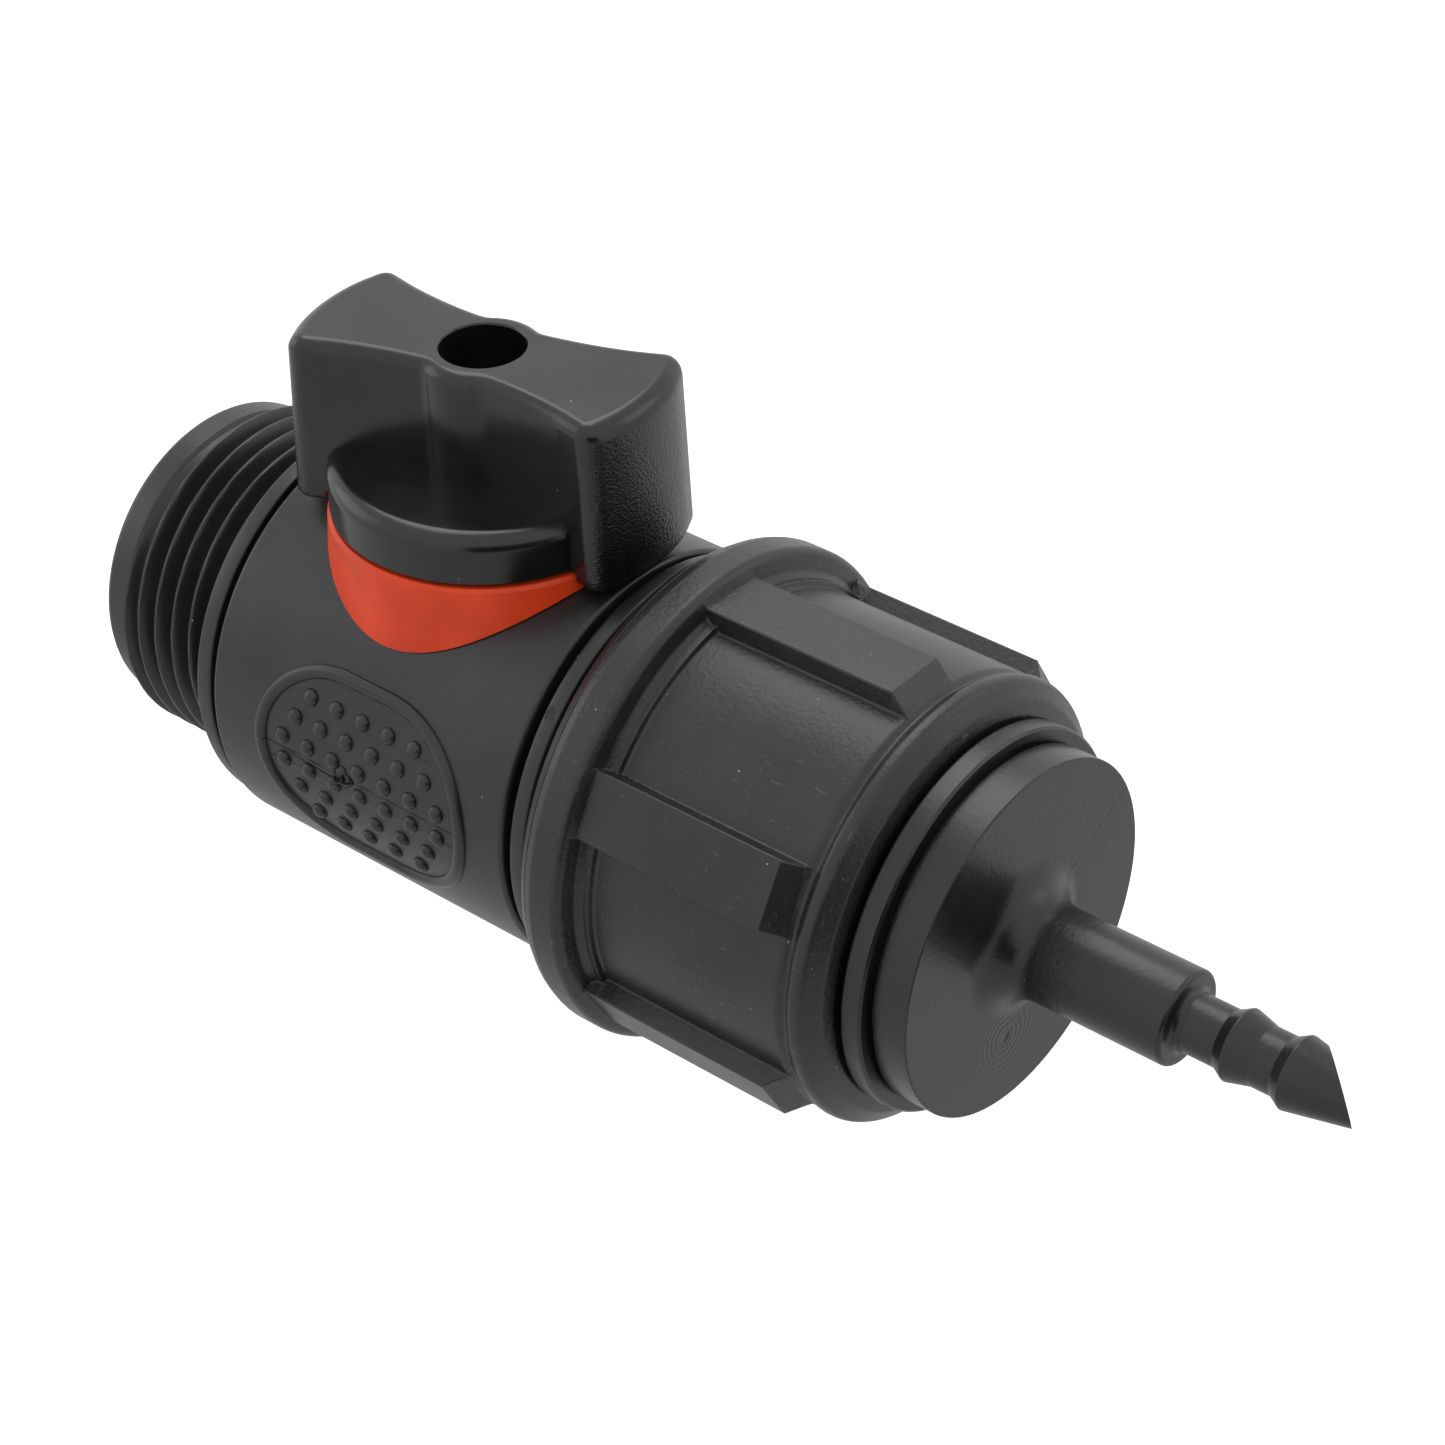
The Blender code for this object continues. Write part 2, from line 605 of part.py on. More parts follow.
def make_stem_washer(mat):
    inner = STEM_R + GAP
    profile = [(washer_z, inner), (washer_z + STEM_WASHER, inner)]
    profile += [(washer_z + STEM_WASHER, STEM_FLANGE_R), (washer_z, STEM_FLANGE_R)]
    return turned("stem_washer", profile, False, sides=SMALL_ROUND, mat=mat)


def make_carrier(mat):
    """The sleeve that holds the outlet seat against the ball, with a groove for its seal ring."""
    middle = carrier_x + CARRIER_LENGTH / 2
    half = CARRIER_RING_SEAT / 2
    groove_r = SEAT_R - CARRIER_SEAT_DEPTH
    profile = [
        (carrier_x, BORE_R),
        (carrier_x, SEAT_R),
        (middle - half, SEAT_R),
        (middle - half, groove_r),
        (middle + half, groove_r),
        (middle + half, SEAT_R),
        (carrier_x + CARRIER_LENGTH, SEAT_R),
        (carrier_x + CARRIER_LENGTH, BORE_R),
    ]
    return turned("seat_carrier", profile, mat=mat)


def make_bush(mat):
    """The pressing bush between the grip ring and the spigot's seal ring."""
    inner = SPIGOT_R + GAP
    flange_low = OUTLET_X + GAP
    profile = [
        (bush_x, inner),
        (bush_x, SOCKET_MOUTH_R - GAP),
        (flange_low, SOCKET_MOUTH_R - GAP),
        (flange_low, OUTLET_ROOT_R - GAP),
        (flange_low + BUSH_FLANGE, OUTLET_ROOT_R - GAP),
        (flange_low + BUSH_FLANGE, inner),
    ]
    return turned("pressing_bush", profile, mat=mat)


def make_grip_ring(mat):
    """The split grip ring, a cone that the nut closes on the spigot."""
    inner = SPIGOT_R + GAP
    profile = [
        (grip_x, inner),
        (grip_x, GRIP_BIG_R),
        (grip_x + GRIP_LAND, GRIP_BIG_R),
        (grip_x + GRIP_LENGTH, GRIP_SMALL_R),
        (grip_x + GRIP_LENGTH, inner),
    ]
    grip = turned("grip_ring", profile, mat=mat)
    centre = (grip_x + GRIP_LENGTH / 2, 0, -SPIGOT_R - MM)
    split = box("grip_split", (2 * GRIP_LENGTH, GRIP_SPLIT, GRIP_SPLIT_BLOCK), centre)
    return boolean(grip, split, "DIFFERENCE")


def make_nut(mat):
    """The ribbed compression nut, with an inside thread and a cone that closes the grip ring."""
    rim_end = NUT_X + NUT_RIM_WIDTH
    cone_x = grip_x - GAP
    cone_end = grip_x + GRIP_LENGTH + GAP
    outer = arc((NUT_X + NUT_RIM_EDGE, NUT_RIM_R - NUT_RIM_EDGE), NUT_RIM_EDGE, 180, 90, 4)
    flat_x = NUT_X + NUT_RIM_EDGE + NUT_RIM_FLAT
    outer += arc((flat_x, NUT_RIM_R - NUT_RIM_EDGE), NUT_RIM_EDGE, 90, 20, 4)
    outer += [(rim_end, NUT_R + EDGE), (rim_end + EDGE, NUT_R)]
    outer += arc((NUT_FRONT_X - NUT_SHOULDER, NUT_R - NUT_SHOULDER), NUT_SHOULDER, 90, 0, 5)
    inner = [
        (NUT_FRONT_X, SPIGOT_R + GAP),
        (cone_end, SPIGOT_R + GAP),
        (cone_end, GRIP_SMALL_R + GAP),
        (cone_x + GRIP_LAND, GRIP_BIG_R + GAP),
        (cone_x, OUTLET_ROOT_R + GAP),
        (cone_x - GRIP_LAND, nut_thread_root_r),
        (NUT_X + EDGE, nut_thread_root_r),
        (NUT_X, nut_thread_root_r + EDGE),
    ]
    nut = turned("compression_nut", outer + inner, mat=mat)
    section = tooth(TOOTH_BASE, TOOTH_TIP, nut_thread_root_r, nut_thread_crest_r)
    ridge_x = OUTLET_THREAD_X + OUTLET_PITCH / 2
    boolean(nut, helix("nut_ridge", ridge_x, OUTLET_PITCH, NUT_TURNS, section), "UNION")
    for index in range(RIB_COUNT):
        boolean(nut, make_rib(index), "UNION")
    return nut


def make_rib(index):
    """One grip rib, flat on top, from inside the rim to a chamfered end."""
    start = NUT_X + NUT_RIM_EDGE
    foot = NUT_R - RIB_SUNK
    side = [(start, foot), (start, RIB_R), (RIB_END_X, RIB_R), (RIB_END_X + RIB_CHAMFER, foot)]
    bm = bmesh.new()
    face = bm.faces.new([bm.verts.new((x, -RIB_WIDTH / 2, r)) for x, r in side])
    made = bmesh.ops.extrude_face_region(bm, geom=[face])
    verts = [v for v in made["geom"] if isinstance(v, bmesh.types.BMVert)]
    bmesh.ops.translate(bm, vec=(0, RIB_WIDTH, 0), verts=verts)
    bmesh.ops.recalc_face_normals(bm, faces=bm.faces)
    angle = RIB_FIRST_ANGLE + math.tau * index / RIB_COUNT - math.radians(90)
    bmesh.ops.rotate(bm, cent=(0, 0, 0), matrix=Matrix.Rotation(angle, 3, "X"), verts=bm.verts)
    mesh = bpy.data.meshes.new(f"rib_{index}")
    bm.to_mesh(mesh)
    bm.free()
    return finish(bpy.data.objects.new(f"rib_{index}", mesh), cutter=True)


def make_plug(mat):
    """The plug: a hollow spigot, two flange discs and a stepped sleeve that ends in a self-piercing barb."""
    disc_end = FLANGE_DISC_X + FLANGE_DISC_WIDTH
    face_start = disc_end + DISC_GROOVE
    fillet = arc((FACE_X + SLEEVE_FILLET, SLEEVE_R + SLEEVE_FILLET), SLEEVE_FILLET, 180, 270, 5)
    outer = [
        (spigot_x, SPIGOT_R - SPIGOT_CHAMFER / 2),
        (spigot_x + SPIGOT_CHAMFER, SPIGOT_R),
        (FLANGE_DISC_X, SPIGOT_R),
        (FLANGE_DISC_X, FLANGE_DISC_R),
        (disc_end, FLANGE_DISC_R),
        (disc_end, DISC_GROOVE_R),
        (face_start, DISC_GROOVE_R),
        (face_start, FACE_DISC_R),
        (FACE_X, FACE_DISC_R),
        *fillet,
        (SLEEVE_END_X - EDGE, SLEEVE_R),
        (SLEEVE_END_X, SLEEVE_R - EDGE),
        (SLEEVE_END_X, SHANK_R + EDGE),
        (SLEEVE_END_X + EDGE, SHANK_R),
        (FIRST_BARB_X - BARB_BACK, SHANK_R),
        (FIRST_BARB_X, FIRST_BARB_R),
        (FIRST_BARB_X + BARB_CONE, SHANK_R),
        (LAST_BARB_X - BARB_BACK, SHANK_R),
        (LAST_BARB_X, LAST_BARB_R),
        (TIP_X, TIP_R),
    ]
    inner = [
        (TIP_X, BARB_BORE_R),
        (PLUG_FLOOR_X, BARB_BORE_R),
        (PLUG_FLOOR_X, SPIGOT_R - PLUG_WALL),
        (spigot_x, SPIGOT_R - PLUG_WALL),
    ]
    plug = turned("barb_plug", outer + inner, mat=mat)
    nib = box("tip_cut", (CUT_BLOCK, CUT_BLOCK, CUT_BLOCK), (CUT_BLOCK / 2, 0, 0))
    nib.location.x = TIP_X - SKIM - TIP_R * math.tan(CUT_SLOPE)
    nib.rotation_mode = "ZYX"
    nib.rotation_euler = (CUT_DIRECTION, 0, CUT_SLOPE)
    return boolean(plug, nib, "DIFFERENCE")


def main():
    clear_scene()
    black = material("body_black", (0.035, 0.035, 0.037), 0.5)
    glossy = material("handle_black", (0.02, 0.02, 0.021), 0.3)
    nut_black = material("nut_black", (0.035, 0.035, 0.037), 0.6)
    plug_black = material("plug_black", (0.03, 0.03, 0.032), 0.4)
    orange = material("indicator_orange", (0.62, 0.09, 0.03), 0.4)
    white = material("seat_white", (0.8, 0.8, 0.76), 0.35)
    acetal = material("acetal_white", (0.7, 0.7, 0.66), 0.4)
    grey = material("ball_grey", (0.12, 0.12, 0.12), 0.3)
    rubber = material("seal_rubber", (0.015, 0.015, 0.015), 0.7)
    steel = material("screw_steel", (0.6, 0.6, 0.6), 0.3, 1.0)

    make_body(black)
    make_indicator(orange)
    make_seats(white)
    stem_rings = make_seals(rubber)
    make_carrier(black)
    make_bush(black)
    make_grip_ring(acetal)
    make_nut(nut_black)
    make_plug(plug_black)

    turning = [make_handle(glossy), make_stem(acetal), make_screw(steel), make_ball(grey)]
    turning += [make_stem_washer(acetal), *stem_rings]
    axis = bpy.data.objects.new("stem_axis", None)
    parts.objects.link(axis)
    axis.matrix_world = handle_turn
    for obj in turning:
        obj.parent = axis
    for obj in list(cutters.objects):
        users = [o for o in turning if any(m.type == "BOOLEAN" and m.object == obj for m in o.modifiers)]
        if users:
            obj.parent = axis


main()
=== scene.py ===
"""The looks of an inline quarter-turn ball valve with a barbed plug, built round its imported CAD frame.

Lengths are in millimetres in every class and are scaled to metres where a mesh is made. +X is the waterway,
from the inlet face at 0 to the barb, and +Z is the stem. Angles about the waterway go from +Y towards +Z.
"""

from __future__ import annotations

import logging
import math
from dataclasses import dataclass, field
from enum import Enum

import bpy
import numpy as np
from mathutils import Matrix, Vector


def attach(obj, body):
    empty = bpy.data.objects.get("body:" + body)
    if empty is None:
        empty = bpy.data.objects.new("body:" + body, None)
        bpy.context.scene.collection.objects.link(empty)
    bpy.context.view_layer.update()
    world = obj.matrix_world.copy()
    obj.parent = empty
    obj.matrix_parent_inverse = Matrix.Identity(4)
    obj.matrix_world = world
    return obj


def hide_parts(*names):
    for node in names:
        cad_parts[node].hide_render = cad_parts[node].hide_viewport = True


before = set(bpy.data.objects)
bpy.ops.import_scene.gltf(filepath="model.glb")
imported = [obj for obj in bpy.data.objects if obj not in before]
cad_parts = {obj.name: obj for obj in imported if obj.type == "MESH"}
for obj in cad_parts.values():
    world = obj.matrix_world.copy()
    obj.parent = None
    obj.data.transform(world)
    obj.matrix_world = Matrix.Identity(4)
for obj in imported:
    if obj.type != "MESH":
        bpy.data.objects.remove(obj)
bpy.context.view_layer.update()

LOG = logging.getLogger("ball_valve")
MM = 0.001
TAU = math.tau
STEM_X = 30.0
PARKED_TURN = math.radians(8.2)
SHARP_ANGLE = math.radians(32)
SLIVER_AREA = 1e-11


class Carve(Enum):
    """How a tool shape changes the piece it meets."""

    JOIN = "UNION"
    CUT = "DIFFERENCE"


class Axis(Enum):
    """The line that a turned shape is round."""

    WATERWAY = "x"
    STEM = "z"


# ------------------------------------------------------------------ curves and surfaces


def filleted(corners: np.ndarray, radii: np.ndarray | float, steps: int = 6) -> np.ndarray:
    """Rounds every corner of a closed path.

    A corner becomes a circular arc written as a rational quadratic curve: its ends lie r / tan(half angle)
    along each side, its middle control point is the corner, and that point's weight is sin(half angle).

    Args:
        corners: n corner points in a plane.
        radii: the arc radius at each corner, cut down where a side is too short for it.
        steps: points on each arc.

    Returns:
        An array (n, steps, 2) of arc points.
    """
    points = np.asarray(corners, float)
    radius = np.broadcast_to(np.asarray(radii, float), len(points))
    back, ahead = np.roll(points, 1, 0) - points, np.roll(points, -1, 0) - points
    back_length, ahead_length = np.linalg.norm(back, axis=1), np.linalg.norm(ahead, axis=1)
    back, ahead = back / back_length[:, None], ahead / ahead_length[:, None]
    half = np.arccos(np.clip((back * ahead).sum(1), -0.999999, 0.999999)) / 2
    reach = np.minimum(radius / np.tan(half), 0.49 * np.minimum(back_length, ahead_length))[:, None]
    t = np.linspace(0, 1, steps)[None, :, None]
    weight = np.sin(half)[:, None, None]
    start, end = (points + back * reach)[:, None], (points + ahead * reach)[:, None]
    mass = (1 - t) ** 2 + 2 * weight * t * (1 - t) + t**2
    return ((1 - t) ** 2 * start + 2 * weight * t * (1 - t) * points[:, None] + t**2 * end) / mass


def path(*corners: tuple[float, float, float], steps: int = 6) -> np.ndarray:
    """A closed path from (station, radius, fillet) corners, with repeated points left out."""
    table = np.array(corners, float)
    points = filleted(table[:, :2], table[:, 2], steps).reshape(-1, 2)
    return points[unrepeated(points, 1e-6)]


def smooth_step(value: np.ndarray) -> np.ndarray:
    """Eases 0 to 1 by 3t^2 - 2t^3, held flat outside."""
    t = np.clip(value, 0, 1)
    return t * t * (3 - 2 * t)


@dataclass(frozen=True)
class Thread:
    """A right-handed thread: a helical ridge on a round surface about the waterway.

    With share = the angle past +Z in turns, the nearest crest is number k + share, where
    k = round((x - start) / pitch - share), and the ridge falls in a straight flank, eased at both ends, as
    |x - crest| goes from the tip's half width to the foot's. Both ends of the helix rise and fall gently.
    """

    root_r: float
    height: float
    start: float
    pitch: float
    turns: float
    tip: float
    foot: float
    run_out: float

    def lift(self, profile: np.ndarray, angles: np.ndarray) -> np.ndarray:
        """The ridge over those rows of a section that lie on the root radius.

        Args:
            profile: (station, radius) points.
            angles: angles about the waterway, in radians from +Y towards +Z.

        Returns:
            What the ridge adds to the radius, an array (rows, angles).
        """
        x = profile[:, :1]
        share = ((angles - TAU / 4) / TAU) % 1.0
        number = np.clip(np.round((x - self.start) / self.pitch - share), 0, None) + share
        away = np.abs(x - self.start - number * self.pitch)
        flank = np.clip((self.foot - away) / (self.foot - self.tip), 0, 1)
        ridge = 0.55 * flank + 0.45 * smooth_step(flank)
        rise, fall = number / self.run_out, (self.turns - number) / self.run_out
        ridge *= smooth_step(rise + 0.15) * smooth_step(fall + 0.15)
        return ridge * (profile[:, 1] == self.root_r)[:, None] * self.height


def surface(name: str, rows: np.ndarray, loop: bool = True) -> bpy.types.Object:
    """A closed mesh over a grid of points in millimetres, whose columns go right round.

    The faces are quads between neighbours, in a torus if the rows loop and otherwise in a tube with two flat
    ends. Six times the volume is the sum of a . (b x c) + a . (c x d) over the quads abcd, and where it comes
    out negative the faces are turned round.

    Args:
        name: the piece's name.
        rows: an array (rows, columns, 3).
        loop: whether the last row joins the first.

    Returns:
        The new object, at the origin.
    """
    count, sides = rows.shape[:2]
    index = np.arange(count * sides).reshape(count, sides)
    last = count if loop else count - 1
    low, high = index[:last], np.roll(index, -1, 0)[:last]
    quads = np.stack([low, high, np.roll(high, -1, 1), np.roll(low, -1, 1)], -1).reshape(-1, 4)
    points = rows.reshape(-1, 3)
    a, b, c, d = (points[quads[:, k]] - points.mean(0) for k in range(4))
    turned_in = (np.cross(b, c) * a + np.cross(c, d) * a).sum() < 0
    faces = (quads[:, ::-1] if turned_in else quads).tolist()
    if not loop:
        ends = [index[0], index[-1][::-1]]
        faces += [(end[::-1] if turned_in else end).tolist() for end in ends]
    mesh = bpy.data.meshes.new(name)
    mesh.from_pydata((points * MM).tolist(), [], faces)
    obj = bpy.data.objects.new(name, mesh)
    bpy.context.scene.collection.objects.link(obj)
    return obj


def turned_rows(profile: np.ndarray, angles: np.ndarray, axis: Axis = Axis.WATERWAY) -> np.ndarray:
    """Sweeps (station, radius) points round an axis: radius cos a and radius sin a beside the station."""
    station = np.broadcast_to(profile[:, :1], (len(profile), len(angles)))
    radius = profile[:, 1:2]
    if axis is Axis.WATERWAY:
        return np.stack([station, radius * np.cos(angles), radius * np.sin(angles)], -1)
    return np.stack([radius * np.cos(angles), radius * np.sin(angles), station], -1)


def around(sides: int) -> np.ndarray:
    """Evenly spaced angles."""
    return np.arange(sides) * TAU / sides


def turned(
    name: str, profile: np.ndarray, sides: int = 96, axis: Axis = Axis.WATERWAY, loop: bool = True
) -> bpy.types.Object:
    """A ring from a closed section, or a solid from one that starts and ends on flat faces."""
    return surface(name, turned_rows(profile, around(sides), axis), loop)


def post(name: str, profile: np.ndarray, sides: int = 96) -> bpy.types.Object:
    """A solid turned about Z, from the rim of its lower flat face to the rim of its upper one."""
    return turned(name, profile, sides, Axis.STEM, loop=False)


def prism(name: str, outline: np.ndarray, low: float, high: float) -> bpy.types.Object:
    """An upright prism over an outline."""
    rows = [np.column_stack([outline, np.full(len(outline), z)]) for z in (low, high)]
    return surface(name, np.array(rows), loop=False)


def unrepeated(outline: np.ndarray, gap: float = 1e-5) -> np.ndarray:
    """Which points of a closed path lie farther than a gap from the point before them."""
    return np.linalg.norm(outline - np.roll(outline, 1, 0), axis=1) > gap


def bake(obj: bpy.types.Object) -> None:
    """Keeps the mesh that an object's modifiers make, and removes the modifiers."""
    graph = bpy.context.evaluated_depsgraph_get()
    mesh = bpy.data.meshes.new_from_object(obj.evaluated_get(graph), depsgraph=graph)
    obj.modifiers.clear()
    obj.data = mesh


def carve(target: bpy.types.Object, tool: bpy.types.Object, how: Carve) -> None:
    """Joins or cuts target with tool, keeps the result as target's mesh, and removes the tool."""
    modifier = target.modifiers.new(tool.name, "BOOLEAN")
    modifier.operation = how.value
    modifier.object = tool
    modifier.solver = "MANIFOLD"
    bake(target)
    bpy.data.objects.remove(tool)


def column(items: bpy.types.bpy_prop_collection, name: str, kind: type, width: int = 1) -> np.ndarray:
    """Reads one property of every item of a mesh into an array."""
    values = np.empty(len(items) * width, kind)
    items.foreach_get(name, values)
    return values.reshape(-1, width) if width > 1 else values


def shade(obj: bpy.types.Object) -> None:
    """Smooth shading with edges sharp past an angle, and normals weighted by face area.

    The corners are sorted by edge, so that an edge's two faces stand side by side. An edge is sharp where the
    faces' normals a and b give a . b < cos(angle), unless one face is a sliver whose normal means nothing.
    """
    mesh = obj.data
    mesh.polygons.foreach_set("use_smooth", np.ones(len(mesh.polygons), bool))
    owner = np.repeat(np.arange(len(mesh.polygons)), column(mesh.polygons, "loop_total", np.int32))
    edge = column(mesh.loops, "edge_index", np.int32)
    order = np.argsort(edge, kind="stable")
    twin = np.flatnonzero(edge[order][1:] == edge[order][:-1])
    first, second = owner[order[twin]], owner[order[twin + 1]]
    normal = column(mesh.polygons, "normal", np.float32, 3)
    area = column(mesh.polygons, "area", np.float32)
    solid = np.minimum(area[first], area[second]) > SLIVER_AREA
    folded = (normal[first] * normal[second]).sum(1) < math.cos(SHARP_ANGLE)
    flags = np.zeros(len(mesh.edges), bool)
    flags[edge[order[twin]]] = folded & solid
    mesh.edges.foreach_set("use_edge_sharp", flags)
    modifier = obj.modifiers.new("weighted", "WEIGHTED_NORMAL")
    modifier.keep_sharp = True
    bake(obj)


def on_stem(obj: bpy.types.Object, turn: float = 0.0) -> bpy.types.Object:
    """Turns a shape made about Z and moves it to the stem. Only its points move: its object stays put."""
    obj.data.transform(Matrix.Translation((STEM_X * MM, 0, 0)) @ Matrix.Rotation(turn, 4, "Z"))
    return obj


# ------------------------------------------------------------------ materials


class Socket:
    """A shader value that can be used in arithmetic. Each operation adds one Math node."""

    def __init__(self, tree: "Tree", link: bpy.types.NodeSocket) -> None:
        """Wraps an output socket."""
        self.tree = tree
        self.link = link

    def _math(self, operation: str, *values: "Socket | float", clamp: bool = False) -> "Socket":
        """One Math node over the given values."""
        inputs = dict(enumerate(values))
        return self.tree.node("ShaderNodeMath", {"operation": operation, "use_clamp": clamp}, inputs)

    def __add__(self, other: "Socket | float") -> "Socket":
        """self + other."""
        return self._math("ADD", self, other)

    def __sub__(self, other: "Socket | float") -> "Socket":
        """self - other."""
        return self._math("SUBTRACT", self, other)

    def __rsub__(self, other: float) -> "Socket":
        """other - self."""
        return self._math("SUBTRACT", other, self)

    def __mul__(self, other: "Socket | float") -> "Socket":
        """self times other."""
        return self._math("MULTIPLY", self, other)

    def __pow__(self, other: float) -> "Socket":
        """self to a power."""
        return self._math("POWER", self, other)

    __radd__ = __add__
    __rmul__ = __mul__

    def size(self) -> "Socket":
        """The absolute value."""
        return self._math("ABSOLUTE", self)

    def sine(self) -> "Socket":
        """The sine, of radians."""
        return self._math("SINE", self)

    def larger(self, other: "Socket | float") -> "Socket":
        """The larger of two values."""
        return self._math("MAXIMUM", self, other)

    def ramp(self, low: float, high: float) -> "Socket":
        """A smooth step from 0 at low to 1 at high. It falls where low is the larger."""
        settings = {"interpolation_type": "SMOOTHSTEP"}
        start, end, at_start, at_end = (low, high, 0.0, 1.0) if low < high else (high, low, 1.0, 0.0)
        inputs = {"Value": self, "From Min": start, "From Max": end, "To Min": at_start, "To Max": at_end}
        return self.tree.node("ShaderNodeMapRange", settings, inputs)


class Tree:
    """The node tree of one material."""

    def __init__(self, name: str) -> None:
        """Makes a material whose tree holds a Principled BSDF and its output."""
        self.material = bpy.data.materials.new(name)
        self.material.use_nodes = True
        self.nodes = self.material.node_tree.nodes
        self.shader = self.nodes["Principled BSDF"]
        self.place = self.node("ShaderNodeTexCoord", {}, {}, "Object")
        self.height: Socket | float = 0.0

    def node(self, kind: str, settings: dict, inputs: dict, output: str | int = 0) -> Socket:
        """Adds a node.

        Args:
            kind: the node's type.
            settings: its properties, set first.
            inputs: a value, a colour or a Socket for each input's name or number.
            output: the output that is wanted.

        Returns:
            The wanted output.
        """
        made = self.nodes.new(kind)
        for key, value in settings.items():
            setattr(made, key, value)
        for key, value in inputs.items():
            self.feed(made.inputs[key], value)
        return Socket(self, made.outputs[output])

    def feed(self, target: bpy.types.NodeSocket, value: object) -> None:
        """Links a Socket to an input, or sets a plain value on it."""
        if isinstance(value, Socket):
            self.material.node_tree.links.new(value.link, target)
        else:
            target.default_value = value

    def set(self, **values: object) -> None:
        """Sets or links the shader's own inputs. An underscore stands for a space."""
        for key, value in values.items():
            self.feed(self.shader.inputs[key.replace("_", " ")], value)

    def axes(self) -> tuple[Socket, Socket, Socket]:
        """The object coordinates in millimetres."""
        scaled = self.node("ShaderNodeVectorMath", {"operation": "SCALE"}, {0: self.place, "Scale": 1 / MM})
        split = self.node("ShaderNodeSeparateXYZ", {}, {0: scaled}, 0).link.node
        return tuple(Socket(self, out) for out in split.outputs)

    def noise(
        self, size: float, detail: float = 2.0, stretch: tuple = (1, 1, 1), turn: tuple = (0, 0, 0)
    ) -> Socket:
        """Noise whose lumps are about size millimetres across, stretched and turned by a Mapping node."""
        spot = self.node("ShaderNodeMapping", {}, {"Vector": self.place, "Scale": stretch, "Rotation": turn})
        inputs = {"Vector": spot, "Scale": 1 / (size * MM), "Detail": detail}
        return self.node("ShaderNodeTexNoise", {}, inputs)

    def dots(self, spacing: float, radius: float, share: float) -> Socket:
        """Rare round dots: inside radius millimetres of a random point, in the given share of the cells."""
        inputs = {"Vector": self.place, "Scale": 1 / (spacing * MM)}
        near = self.node("ShaderNodeTexVoronoi", {}, inputs, "Distance")
        draw = self.node("ShaderNodeSeparateXYZ", {}, {0: Socket(self, near.link.node.outputs["Color"])})
        return near.ramp(radius / spacing, 0.5 * radius / spacing) * draw.ramp(1 - share, 1 - share + 0.01)

    def mix(self, share: Socket, first: tuple, second: tuple | Socket) -> Socket:
        """A colour between two colours."""
        inputs = {0: share, 6: first, 7: second}
        return self.node("ShaderNodeMix", {"data_type": "RGBA"}, inputs, 2)

    def relief(self, height: Socket) -> None:
        """Bumps the surface by a height in millimetres."""
        bump = self.node("ShaderNodeBump", {}, {"Strength": 1.0, "Distance": MM, "Height": height})
        self.set(Normal=bump)


def grey(value: float, warm: float = 0.0) -> tuple[float, float, float, float]:
    """A neutral colour, a touch warmer or cooler."""
    return (value * (1 + warm), value, value * (1 - warm), 1.0)


@dataclass(frozen=True)
class Moulding:
    """Moulded plastic: a base colour, a fine grain, cloudy gloss, dust and hairline marks."""

    name: str
    colour: tuple[float, float, float]
    roughness: float
    grain: float = 0.22
    depth: float = 0.012
    cloud: float = 0.06
    dust: float = 0.12
    hairs: float = 0.0
    specular: float = 0.5

    def tree(self) -> Tree:
        """The finish shared by every moulding.

        Returns:
            The tree, with its relief so far in `height`, to which a piece adds its own marks.
        """
        tree = Tree(self.name)
        cloud = tree.noise(6.0, 3.0)
        grain = tree.noise(self.grain, 3.0)
        dust = tree.dots(2.1, 0.085, self.dust).larger(tree.dots(1.0, 0.05, self.dust * 0.6))
        hairs = tree.noise(1.6, 2.0, (1, 12, 2), (0.5, 0.2, 0.7)).ramp(0.7, 0.74)
        hairs = hairs.larger(tree.noise(1.8, 2.0, (12, 1, 1.5), (0.3, 0.9, 0.2)).ramp(0.7, 0.74)) * self.hairs
        base = (*self.colour, 1.0)
        lit = tuple(min(1.0, c * 1.35 + 0.004) for c in self.colour) + (1.0,)
        shade = tree.mix(cloud.ramp(0.3, 0.75), base, lit)
        worn = tree.mix(hairs * 0.6, shade, grey(0.11))
        dusty = tree.mix(dust * 0.85, worn, grey(0.33, 0.03))
        tree.set(Base_Color=dusty, Specular_IOR_Level=self.specular)
        tree.set(Roughness=self.roughness + (cloud - 0.5) * self.cloud * 2 + dust * 0.3 - hairs * 0.1)
        tree.height = grain * self.depth - hairs * self.depth * 0.4
        return tree

    def material(self) -> bpy.types.Material:
        """The plain moulded finish."""
        tree = self.tree()
        tree.relief(tree.height)
        return tree.material


@dataclass(frozen=True)
class BarrelMoulding(Moulding):
    """The body's plastic, with the mould's parting line along both sides of the barrel."""

    line_from: float = 16.0
    line_to: float = 44.2
    slope: float = math.tan(math.radians(2.0))

    def material(self) -> bpy.types.Material:
        """The finish with a thin ridge where |z - |y| tan 2 deg| is small, over the barrel's length."""
        tree = self.tree()
        x, y, z = tree.axes()
        off = (z - y.size() * self.slope).size()
        along = x.ramp(self.line_from, self.line_from + 0.3) * x.ramp(self.line_to, self.line_to - 0.3)
        wander = tree.noise(2.5, 1.0) * 0.05
        line = (off + wander).ramp(0.13, 0.05) * along
        pad = x.ramp(20.6, 21.0) * x.ramp(40.1, 39.7)
        pit = ((x - 45.35) ** 2.0 + (y + 11.45) ** 2.0 + (z - 11.1) ** 2.0) ** 0.5
        pit = pit.ramp(0.62, 0.3) * tree.noise(0.3, 2.0).ramp(0.3, 0.6)
        tree.relief(tree.height + line * 0.02 - line * pad * 0.09 - pit * 0.15)
        return tree.material


